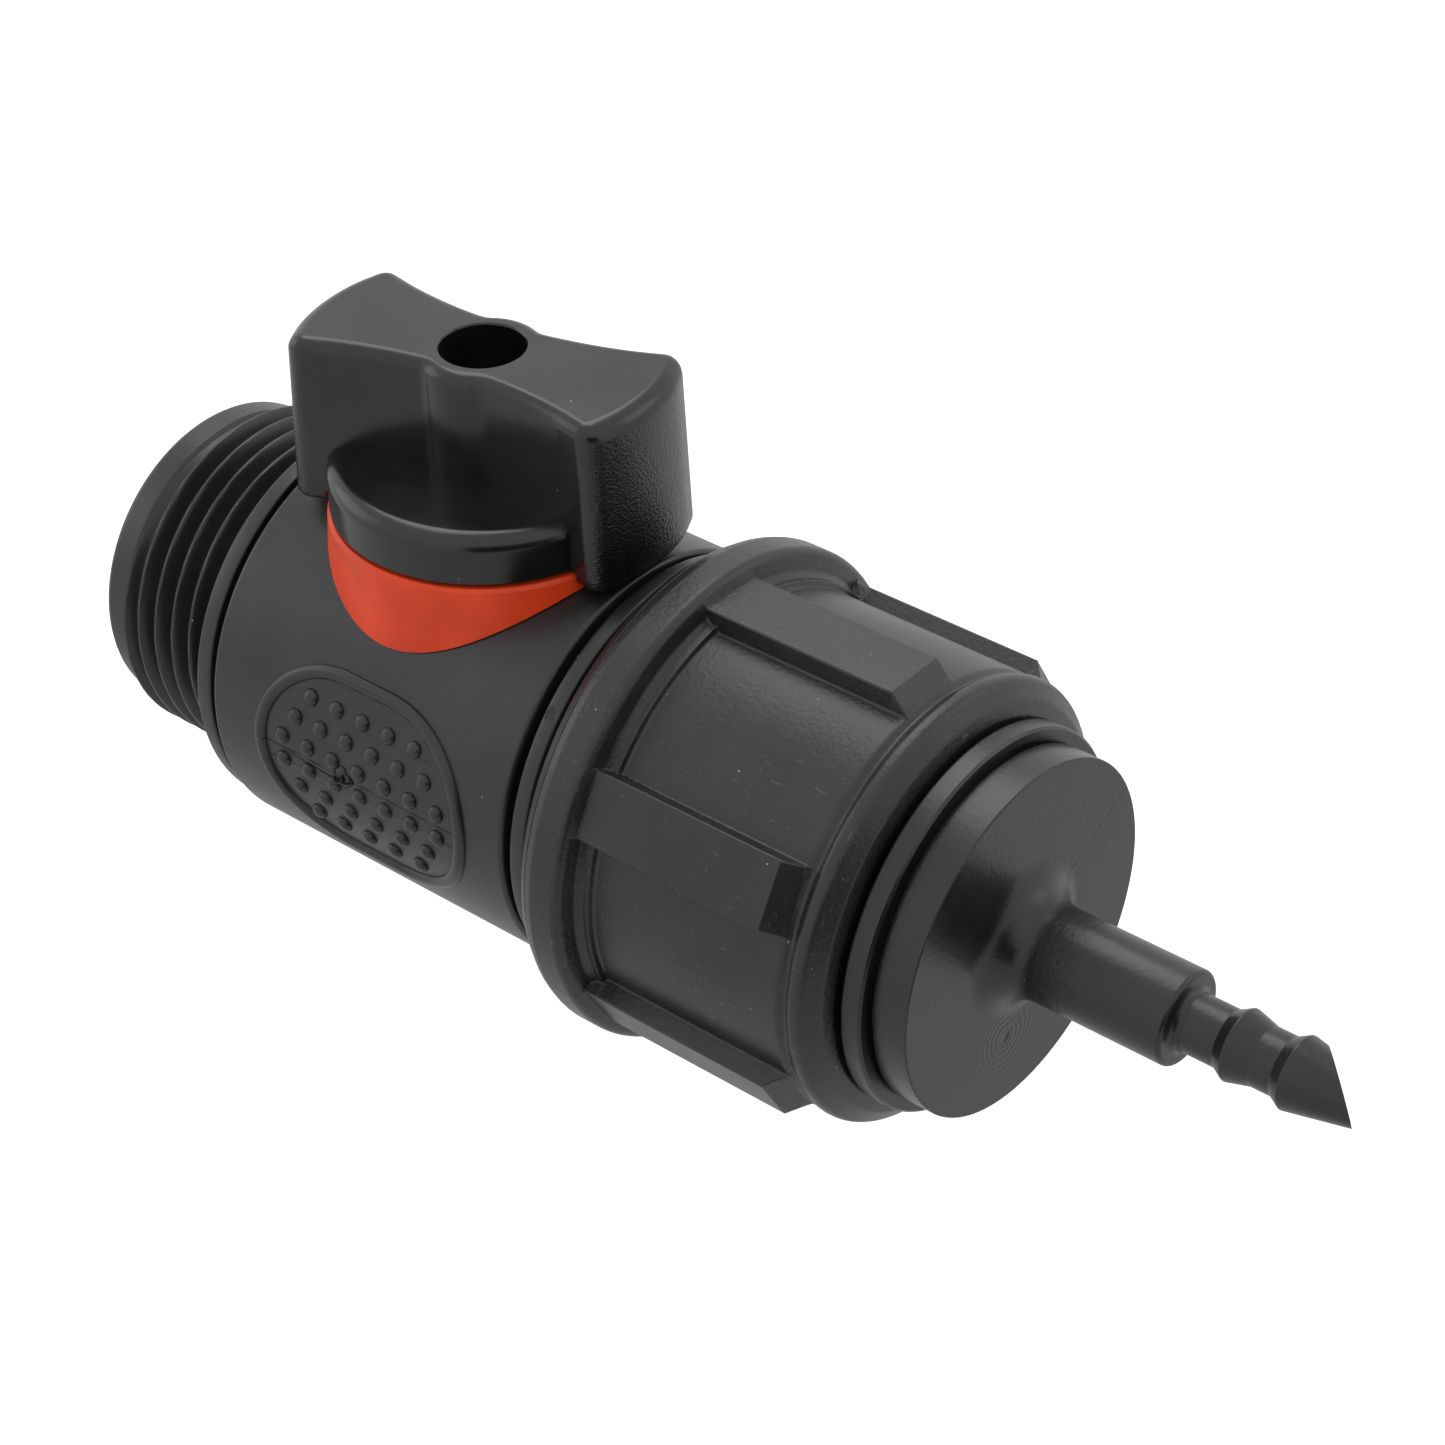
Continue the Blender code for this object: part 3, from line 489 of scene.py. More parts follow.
@dataclass(frozen=True)
class PlugMoulding(Moulding):
    """The plug's plastic, with a gate scar, flow rings and a weld line on its flat face."""

    face_x: float = 76.8
    gate: tuple[float, float] = (-1.9, -7.3)
    weld_angle: float = math.radians(27.5)

    def material(self) -> bpy.types.Material:
        """The finish with rings sin(12 r) round the gate, fading by 4 mm, and one straight weld line."""
        tree = self.tree()
        x, y, z = tree.axes()
        face = x.ramp(self.face_x - 0.2, self.face_x - 0.05) * x.ramp(self.face_x + 0.4, self.face_x + 0.1)
        away = ((y - self.gate[0]) ** 2.0 + (z - self.gate[1]) ** 2.0) ** 0.5
        wobble = tree.noise(1.2, 2.0) * 1.6
        rings = ((away * 12.0 + wobble * 4.0).sine() * 0.5 + 0.5) * away.ramp(4.6, 1.0)
        scar = away.ramp(0.55, 0.25) * tree.noise(0.3, 2.0)
        cosine, sine = math.cos(self.weld_angle), math.sin(self.weld_angle)
        outward = y * cosine + z * sine
        weld = (z * cosine - y * sine).size().ramp(0.09, 0.03) * outward.ramp(3.6, 5.0)
        tree.relief(tree.height + (rings * 0.02 - scar * 0.3 - weld * 0.14) * face)
        return tree.material


@dataclass(frozen=True)
class WingMoulding(Moulding):
    """The handle's plastic: smooth above, with a leather grain on the two end faces."""

    reach: float = 11.2

    def material(self) -> bpy.types.Material:
        """The finish with a coarser grain where the distance along the wing passes reach, below the top."""
        tree = self.tree()
        x, y, z = tree.axes()
        along = ((x - STEM_X) * math.cos(PARKED_TURN) + y * math.sin(PARKED_TURN)).size()
        ends = along.ramp(self.reach, self.reach + 1.4) * z.ramp(28.6, 27.4)
        leather = tree.noise(0.2, 2.0).ramp(0.3, 0.7)
        tree.relief(tree.height + leather * ends * 0.022)
        return tree.material


@dataclass(frozen=True)
class Metal:
    """Bright machined metal with fine turning marks."""

    name: str
    colour: tuple[float, float, float]
    roughness: float

    def material(self) -> bpy.types.Material:
        """A metallic finish whose gloss varies in fine rings."""
        tree = Tree(self.name)
        marks = tree.noise(0.12, 2.0, (1, 1, 6))
        tree.set(Base_Color=tree.mix(marks, (*self.colour, 1), tuple(c * 0.8 for c in self.colour) + (1,)))
        tree.set(Metallic=1.0, Roughness=self.roughness + marks * 0.15)
        tree.relief(marks * 0.01)
        return tree.material


BLACK = (0.0085, 0.0085, 0.009)
BODY_FINISH = BarrelMoulding("body_black_moulding", BLACK, 0.36, grain=0.4, depth=0.014, dust=0.25)
NUT_FINISH = Moulding("nut_black_moulding", BLACK, 0.36, grain=0.32, depth=0.034, hairs=0.55, dust=0.4)
GLOSS_BLACK = (0.0045, 0.0045, 0.0047)
HANDLE_FINISH = WingMoulding("handle_black_moulding", GLOSS_BLACK, 0.22, grain=0.6, depth=0.006)
SATIN_BLACK = (0.006, 0.006, 0.0063)
PLUG_FINISH = PlugMoulding("plug_black_moulding", SATIN_BLACK, 0.31, grain=0.4, depth=0.022, dust=0.25)
CARRIER_FINISH = Moulding("carrier_black_moulding", BLACK, 0.45)
ORANGE = (0.61, 0.045, 0.008)
ORANGE_FINISH = Moulding("indicator_orange_moulding", ORANGE, 0.36, depth=0.006, dust=0.03, specular=0.25)
SEAT_FINISH = Moulding("seat_white_moulding", (0.78, 0.78, 0.74), 0.35, depth=0.004, dust=0.0)
ACETAL_FINISH = Moulding("acetal_white_moulding", (0.68, 0.68, 0.63), 0.4, depth=0.006, dust=0.0)
BALL_FINISH = Moulding("ball_grey_moulding", (0.085, 0.085, 0.088), 0.2, depth=0.002, dust=0.0)
RUBBER_FINISH = Moulding("seal_rubber", (0.012, 0.012, 0.012), 0.62, grain=0.1, depth=0.006, dust=0.1)
STEEL_FINISH = Metal("screw_steel", (0.58, 0.58, 0.57), 0.28)


def coat(obj: bpy.types.Object, finish: Moulding | Metal) -> None:
    """Gives an object one finish, whose material is made once."""
    obj.data.materials.clear()
    obj.data.materials.append(bpy.data.materials.get(finish.name) or finish.material())


def dress(obj: bpy.types.Object, finish: Moulding | Metal, body: str, node: str) -> None:
    """Shades a new piece, gives it its finish, and ties it to the frame.

    Args:
        obj: the piece.
        finish: its finish.
        body: the CAD body that it rides on.
        node: the CAD node that it stands for.
    """
    shade(obj)
    coat(obj, finish)
    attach(obj, body)
    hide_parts(node)
    LOG.info("%s: %d faces, rides on %s", obj.name, len(obj.data.polygons), body)


# ------------------------------------------------------------------ the valve's sub-assemblies


@dataclass
class ValveBody:
    """The one-piece body: inlet thread, barrel with grip pads, neck, outlet thread and stepped waterway."""

    sides: int = 216
    barrel_r: float = 15.85
    pilot_r: float = 12.35
    inlet: Thread = Thread(12.06, 1.16, 2.46, 1.814, 4.6, tip=0.1, foot=0.8, run_out=0.4)
    outlet: Thread = Thread(13.9, 0.85, 50.5, 3.0, 2.6, tip=0.3, foot=0.65, run_out=0.08)
    end_x: float = 61.0
    bore_r: float = 7.3
    cavity_r: float = 10.8
    mouth_r: float = 12.6
    pad_x: float = 30.2
    pad_half_straight: float = 2.2
    pad_rim_r: float = 7.6
    gate_spot: float = -1.55
    bump_rows: tuple = ((-18.3, 5), (-11.0, 6), (-3.7, 7), (3.7, 7), (11.0, 6), (18.3, 5))
    bump_pitch: float = 2.52
    bump_r: float = 0.67
    bump_rise: float = 0.42
    line_tilt: float = math.radians(2.0)
    gate_pits: tuple = ((-0.35, 0.15, 0.34), (0.3, -0.2, 0.3), (0.15, 0.42, 0.24), (-0.5, -0.4, 0.2))

    def profile(self) -> np.ndarray:
        """The body's section, as a closed path of (station, radius), dense where the threads run."""
        root, outlet = self.inlet.root_r, self.outlet.root_r
        front = path(
            (0, self.bore_r, 0.3), (0, self.pilot_r, 0.7), (2.35, self.pilot_r, 0.12), (2.75, root, 0.2),
            (11.6, root, 0.3), (12.0, 11.7, 0.2), (13.2, 11.7, 0.15), (13.2, 15.4, 0.3), (14.7, 15.4, 0.22),
            (14.7, 14.25, 0.1), (15.4, 14.25, 0.1), (15.4, self.barrel_r, 0.42), (44.0, self.barrel_r, 0.42),
            (44.0, 14.25, 0.1), (44.7, 14.25, 0.1), (44.7, 15.95, 0.3), (46.1, 15.95, 0.3),
            (46.1, outlet, 0.2), (self.end_x, outlet, 0.4), (self.end_x, self.mouth_r, 0.2),
            (56.4, self.mouth_r, 0.1),
            (56.4, self.cavity_r, 0.1), (19.55, self.cavity_r, 0.1), (19.55, self.bore_r, 0.2), steps=5,
        )  # fmt: skip
        inlet_x = np.linspace(2.8, 11.4, 116)
        outlet_x = np.linspace(48.6, 60.4, 70)
        split_in = np.flatnonzero(np.abs(front[:, 1] - root) < 1e-3)[0] + 1
        split_out = np.flatnonzero((np.abs(front[:, 1] - outlet) < 1e-3) & (front[:, 0] > 46.2))[0] + 1
        return np.vstack([
            front[:split_in], np.column_stack([inlet_x, np.full(len(inlet_x), root)]),
            front[split_in:split_out], np.column_stack([outlet_x, np.full(len(outlet_x), outlet)]),
            front[split_out:],
        ])  # fmt: skip

    def shell(self) -> bpy.types.Object:
        """The turned body: each row's radius plus the height of the helix ridges."""
        profile = self.profile()
        angles = around(self.sides)
        lift = self.inlet.lift(profile, angles) + self.outlet.lift(profile, angles)
        rows = turned_rows(profile, angles)
        rows[..., 1] += lift * np.cos(angles)
        rows[..., 2] += lift * np.sin(angles)
        return surface("valve_body_moulding", rows)

    def wrap(self, flat: np.ndarray, middle: float) -> np.ndarray:
        """Bends pad points (along, arc, height) on the barrel, at the angle middle + arc / barrel radius."""
        angle = middle + flat[..., 1] / self.barrel_r
        radius = self.barrel_r + flat[..., 2]
        return np.stack([self.pad_x + flat[..., 0], radius * np.cos(angle), radius * np.sin(angle)], -1)

    def knob(
        self, name: str, middle: float, spot: tuple[float, float], radius: np.ndarray, height: np.ndarray,
        angles: np.ndarray,
    ) -> bpy.types.Object:
        """A dome or bowl on the barrel, ring by ring.

        Args:
            name: its name.
            middle: the pad's angle about the waterway.
            spot: its centre from the pad's, along and by arc length.
            radius: each ring's radius, which may waver with the angle.
            height: each ring's height over the barrel.
            angles: the angles round the spot.

        Returns:
            The new object.
        """
        along, across = radius * np.cos(angles), radius * np.sin(angles)
        flat = np.stack([spot[0] + along, spot[1] + across, height + 0 * along], -1)
        return surface(name, self.wrap(flat, middle), loop=False)

    def pad_rim(self, middle: float, name: str) -> bpy.types.Object:
        """The pad's rim: a low rounded section carried round a stadium.

        The stadium's point at angle a is (rim radius cos a plus or minus half the straight, rim radius
        sin a), and the section's at angle b lies 0.55 cos b across it and 0.42 sin b above it, sunk by 0.03.
        """
        a = (np.arange(128) + 0.5) * TAU / 128
        b = around(20)
        across = np.stack([np.cos(a), np.sin(a)], -1)
        centre = across * self.pad_rim_r
        centre[:, 0] += np.sign(across[:, 0]) * self.pad_half_straight
        flat = np.empty((len(a), len(b), 3))
        flat[..., :2] = centre[:, None] + across[:, None] * (0.55 * np.cos(b))[None, :, None]
        flat[..., 2] = 0.42 * np.sin(b) - 0.03
        return surface(name, self.wrap(flat, middle))

    def bumps(self, middle: float, side: float) -> list[bpy.types.Object]:
        """The pad's studs: domes with rows at offsets of bump_rows degrees, each centred on the pad.

        A stud's ring at share t lies r sin(t pi/2) out and rise cos(t pi/2) up. Its skirt goes into the wall.
        """
        share = np.array([1.0, 1.0, 0.86, 0.7, 0.52, 0.34, 0.14])[:, None] * math.pi / 2
        radius = self.bump_r * np.sin(share)
        height = self.bump_rise * np.cos(share)
        height[0] = -0.35
        made = []
        for row, (offset, count) in enumerate(self.bump_rows):
            across = side * math.radians(offset) * self.barrel_r
            for index in range(count):
                spot = ((index - (count - 1) / 2) * self.bump_pitch, across)
                made.append(self.knob(f"stud_{row}_{index}", middle, spot, radius, height, around(14)))
        return made

    def gate(self, middle: float, side: float) -> bpy.types.Object:
        """The torn gate on the parting line: a low hollowed dome, its rim wavering by sines of 3a and 5a."""
        a = around(28)
        share = np.array([1.0, 1.0, 0.85, 0.65, 0.45, 0.25, 0.1])[:, None]
        waver = 1 + 0.16 * np.sin(3 * a + 0.7) + 0.1 * np.sin(5 * a + 2.0)
        height = 0.3 * np.sin(share * math.pi) * (1 + 0.5 * np.sin(2 * a + 1.1)) + 0.06
        height[0] = -0.3
        return self.knob(f"gate_{side:+.0f}", middle, (self.gate_spot, 0.0), 0.85 * share * waver, height, a)

    def pit(self, middle: float, side: float, index: int) -> bpy.types.Object:
        """One ragged hole of the torn gate: a bowl whose radius wavers by sin(3a)."""
        along, across, size = self.gate_pits[index]
        a = around(12)
        share = np.array([0.15, 0.5, 0.8, 1.0, 1.1])[:, None]
        depth = np.array([-1.0, -0.85, -0.4, 0.3, 1.6])[:, None]
        radius = size * share * (1 + 0.22 * np.sin(3 * a + index))
        spot = (along + self.gate_spot, side * across)
        return self.knob(f"pit_{index}", middle, spot, radius, size * depth + 0.25, a)

    def parting_groove(self, middle: float) -> bpy.types.Object:
        """A hair-thin V along the pad, where the mould's halves meet: its edge lies deep inside the wall."""
        x = np.array([-9.4, -3.0, 3.0, 9.4])
        flat = np.empty((len(x), 3, 3))
        flat[..., 0] = x[:, None]
        flat[..., 1] = (0.09, 0.0, -0.09)
        flat[..., 2] = (0.6, -0.13, 0.6)
        return surface("parting_groove", self.wrap(flat, middle), loop=False)

    def build(self) -> None:
        """Builds the body, adds the pads, neck and stem hole, and dresses it."""
        body = self.shell()
        neck = path((12.0, 0.01, 0), (12.0, 8.8, 0), (16.6, 8.8, 0.4), (16.6, 0.01, 0))
        carve(body, on_stem(post("neck", neck[1:-1])), Carve.JOIN)
        for middle, side in ((math.pi - self.line_tilt, 1.0), (self.line_tilt, -1.0)):
            details = [self.pad_rim(middle, "pad_rim"), self.gate(middle, side), *self.bumps(middle, side)]
            first = details[0]
            with bpy.context.temp_override(active_object=first, selected_editable_objects=details):
                bpy.ops.object.join()
            carve(body, first, Carve.JOIN)
            carve(body, self.parting_groove(middle), Carve.CUT)
            for index in range(len(self.gate_pits)):
                carve(body, self.pit(middle, side, index), Carve.CUT)
        hole = np.array([(5.0, 5.5), (12.65, 5.5), (12.65, 4.3), (17.6, 4.3)])
        carve(body, on_stem(post("stem_hole", hole, 64)), Carve.CUT)
        dress(body, BODY_FINISH, "body", "valve_body")


@dataclass
class IndicatorCollar:
    """The orange collar round the neck, with a foot that fits the barrel."""

    inner_r: float = 9.1
    outer_r: float = 11.8
    top_z: float = 16.65
    barrel_r: float = 15.9
    sides: int = 144

    def build(self) -> None:
        """Builds the tube, whose foot lies at z = sqrt(barrel^2 - y^2) under each point, y = radius sin a."""
        angles = around(self.sides)
        outer = self.outer_r
        radius = np.array([self.inner_r, outer + 0.1, outer + 0.2, outer, outer - 0.25, self.inner_r])
        foot = np.sqrt(self.barrel_r**2 - (radius[:, None] * np.sin(angles)) ** 2)
        foot[2] += 0.1
        height = np.where(np.arange(6)[:, None] < 3, foot, self.top_z)
        height[3] -= 0.22
        rows = np.stack([radius[:, None] * np.cos(angles), radius[:, None] * np.sin(angles), height], -1)
        ring = on_stem(surface("indicator_ring", rows))
        dress(ring, ORANGE_FINISH, "body", "indicator_collar")


@dataclass
class Handle:
    """The butterfly handle: wing, hub and cap disc in one moulding, cored out from below."""

    foot_z: float = 16.2
    top_z: float = 29.1
    foot_r: float = 14.5
    top_r: float = 14.05
    waist: float = 3.85
    flare: float = 0.015
    corner: float = 1.5
    edge: float = 1.0
    end_edge: float = 1.3
    smooth: float = 60.0
    corner_run: float = 3.4
    hub_r: float = 4.6
    cap_r: float = 11.6
    cap_foot_z: float = 16.95
    cap_top_z: float = 20.75
    well_r: float = 3.02
    well_floor_z: float = 21.4
    wall: float = 1.8
    roof: float = 2.2
    socket: float = 6.0
    socket_top_z: float = 20.0

    def outline(self, end_r: float, shrink: float = 0.0, hub: bool = True) -> np.ndarray:
        """The wing in plan, as a closed smooth path with its corners rounded.

        The sides lie waist + flare u^2 off the long axis, the ends on a circle about the stem, and the hub's
        circle swells from the waist with a small hollow fillet where it leaves it.

        Args:
            end_r: the ends' radius.
            shrink: taken off the waist.
            hub: whether the hub's swelling is there.

        Returns:
            The path's points.
        """
        waist = self.waist - shrink
        u = end_r
        for _ in range(30):
            u = math.sqrt(end_r**2 - (waist + self.flare * u * u) ** 2)
        half = math.acos(u / end_r)
        end_angles = half * np.concatenate([[-1], np.linspace(-0.5, 0.5, 5), [1]])
        ends = np.column_stack([end_r * np.cos(end_angles), end_r * np.sin(end_angles)])
        start = 0.9
        if hub:
            start = self.hub_r
            for _ in range(60):
                rest = self.hub_r**2 - (waist + self.flare * start**2) ** 2
                start = 0.5 * (start + math.sqrt(max(rest, 0.01)))
        side_u = np.linspace(u - self.corner_run, start, 10)
        side = np.column_stack([side_u, waist + self.flare * side_u**2])
        radii = np.full(len(ends), self.smooth)
        radii[[0, -1]] = self.corner
        side_radii = np.full(len(side), self.smooth)
        bulge = np.empty((0, 2))
        if hub:
            side_radii[-1] = 0.45
            first = math.atan2(side[-1, 1], side[-1, 0])
            bulge_angles = np.linspace(first, math.pi - first, 7)[1:-1]
            bulge = self.hub_r * np.column_stack([np.cos(bulge_angles), np.sin(bulge_angles)])
        mirrored = side[::-1] * (-1, 1)
        right, right_radii = ends[3:], radii[3:]
        upper = np.vstack([right, side, bulge, mirrored, (right * (-1, 1))[::-1][:-1]])
        bulge_radii = np.full(len(bulge), self.smooth)
        turns = [right_radii, side_radii, bulge_radii, side_radii[::-1], right_radii[::-1][:-1]]
        return filleted(np.vstack([upper, -upper]), np.concatenate(turns * 2), 7).reshape(-1, 2)

    def inward(self, outline: np.ndarray) -> np.ndarray:
        """The unit normals of a path that goes left round, which are its tangents turned a quarter left."""
        tangent = np.roll(outline, -1, 0) - np.roll(outline, 1, 0)
        tangent /= np.maximum(np.linalg.norm(tangent, axis=1, keepdims=True), 1e-9)
        return np.column_stack([-tangent[:, 1], tangent[:, 0]])

    def wing(self) -> bpy.types.Object:
        """The wing and hub: plan outlines lofted upward to a rounded top edge.

        The edge's reach is the inward normal times its two radii, one for the ends and one for the sides. At
        angle t the outline has moved in by reach (1 - cos t) and stands |reach| (1 - sin t) under the top.
        """
        foot, top = self.outline(self.foot_r), self.outline(self.top_r)
        keep = unrepeated(foot, 0.06)
        foot, top = foot[keep], top[keep]
        normal = self.inward(foot)
        reach = normal * (self.end_edge, self.edge)
        radius = np.linalg.norm(reach, axis=1)
        rise = self.top_z - self.foot_z
        t = np.linspace(0, math.pi / 2, 9)[1:, None]
        share = np.linspace(0, 1, 8)[:, None]
        low = np.array([0.0, 0.08, 0.25])[:, None] + 0 * radius
        wall = 0.8 + (rise - radius - 0.8) * share
        rounded = rise - radius * (1 - np.sin(t))
        height = np.vstack([low, wall, rounded])
        inset = np.zeros((len(height), len(foot), 2))
        inset[:2] = np.array([0.25, 0.08])[:, None, None] * normal
        inset[-len(t) :] = reach * (1 - np.cos(t))[..., None]
        plan = foot + (top - foot) * (height / rise)[..., None] + inset
        return surface("butterfly_handle", np.dstack([plan, height + self.foot_z]), loop=False)

    def build(self) -> None:
        """Joins wing and cap disc, cuts the coring, the well and the stem's socket, and dresses the whole."""
        handle = self.wing()
        cap = path(
            (self.cap_foot_z, 0.01, 0), (self.cap_foot_z, self.cap_r, 0.15),
            (self.cap_top_z, self.cap_r, 1.25), (self.cap_top_z, 0.01, 0), steps=10,
        )  # fmt: skip
        carve(handle, post("cap_disc", cap[1:-1], 144), Carve.JOIN)
        pocket = self.outline(self.top_r - self.wall, self.wall, hub=False)
        for side in (-1, 1):
            half = pocket.copy()
            half[:, 0] = side * np.maximum(side * half[:, 0], self.hub_r + self.wall)
            half = half[unrepeated(half)]
            carve(handle, prism(f"pocket_{side}", half, self.foot_z - 1, self.top_z - self.roof), Carve.CUT)
        relief = np.array([(self.foot_z - 1, 12.1), (self.cap_foot_z, 12.1)])
        well = np.array([
            (self.well_floor_z, self.well_r), (self.top_z - 0.2, self.well_r),
            (self.top_z - 0.08, self.well_r + 0.05), (self.top_z + 0.05, self.well_r + 0.16),
            (self.top_z + 1, self.well_r + 1.16),
        ])  # fmt: skip
        hole = np.array([(self.socket_top_z - 1, 1.6), (self.well_floor_z + 1, 1.6)])
        square = self.socket / 2 * np.array([(1, 1), (-1, 1), (-1, -1), (1, -1)])
        carve(handle, post("collar_relief", relief), Carve.CUT)
        carve(handle, post("well", well), Carve.CUT)
        carve(handle, post("screw_hole", hole, 32), Carve.CUT)
        carve(handle, prism("socket", square, self.cap_foot_z - 1, self.socket_top_z), Carve.CUT)
        on_stem(handle, PARKED_TURN)
        dress(handle, HANDLE_FINISH, "handle_stem", "handle")


@dataclass
class HandleScrew:
    """The pan-head screw down in the handle's well."""

    seat_z: float = 21.7
    length: float = 8.0
    shank_r: float = 1.3
    head_r: float = 2.6
    head: float = 1.5

    def build(self) -> None:
        """Turns the screw, cuts its cross slot and dresses it."""
        end, top = self.seat_z - self.length, self.seat_z + self.head
        profile = path(
            (end, 0.01, 0), (end, 0.3, 0), (end + 0.8, self.shank_r, 0), (self.seat_z, self.shank_r, 0.1),
            (self.seat_z, self.head_r, 0.15), (top, self.head_r, 0.8), (top, 0.01, 0),
        )  # fmt: skip
        screw = post("handle_screw_turned", profile[1:-1], 64)
        slot = np.array([(0.4, 0.4), (1.6, 0.4), (1.6, -0.4), (0.4, -0.4)])
        turns = [np.array([(math.cos(a), math.sin(a)), (-math.sin(a), math.cos(a))]) for a in around(4)]
        cross = np.vstack([slot @ turn for turn in turns])
        carve(screw, prism("cross_slot", cross, top - 1.0, top + 0.5), Carve.CUT)
        on_stem(screw, PARKED_TURN)
        dress(screw, STEEL_FINISH, "handle_stem", "handle_screw")


@dataclass
class BallAndSeats:
    """The ball and the two seat rings that hold it."""

    ball_r: float = 10.45
    bore_r: float = 7.0
    seat_r: float = 10.5
    seat_inner_r: float = 7.3
    seat_back: float = 8.95
    slot_floor: float = 8.25
    slot_half: float = 1.9

    def ball(self) -> None:
        """Turns the bored ball about its bore: the arc from bore edge to bore edge, with rounded lips."""
        half = math.sqrt(self.ball_r**2 - self.bore_r**2)
        reach = math.atan2(self.bore_r, half)
        arc = np.linspace(reach, math.pi - reach, 60)
        outside = self.ball_r * np.column_stack([np.cos(arc), np.sin(arc)])
        lips = np.array([(-half + 0.05, self.bore_r - 0.06), (-half + 0.4, self.bore_r - 0.1)])
        profile = np.vstack([outside, lips, lips[::-1] * (-1, 1)])
        ball = turned("bored_ball", profile, 96)
        box = np.array([(-1, -1), (1, -1), (1, 1), (-1, 1)]) * (self.slot_half, self.ball_r + 1)
        carve(ball, prism("tang_slot", box, self.slot_floor, self.slot_floor + 4), Carve.CUT)
        on_stem(ball, PARKED_TURN)
        dress(ball, BALL_FINISH, "ball", "ball")

    def seat(self, side: int, node: str) -> None:
        """Turns one seat ring, with its face on a sphere a little larger than the ball."""
        reach = self.ball_r + 0.33
        arc = np.linspace(math.asin(self.seat_inner_r / reach), math.radians(62), 14)
        face = reach * np.column_stack([np.cos(arc), np.sin(arc)])
        outer, inner = self.seat_r, self.seat_inner_r
        back = np.array([(face[-1, 0], outer), (self.seat_back, outer), (self.seat_back, inner)])
        profile = np.vstack([face, back]) * (side, 1) + (STEM_X, 0)
        dress(turned(f"{node}_turned", profile, 96), SEAT_FINISH, "body", node)

    def build(self) -> None:
        """Builds the ball and both seats."""
        self.ball()
        self.seat(-1, "seat_inlet")
        self.seat(1, "seat_outlet")


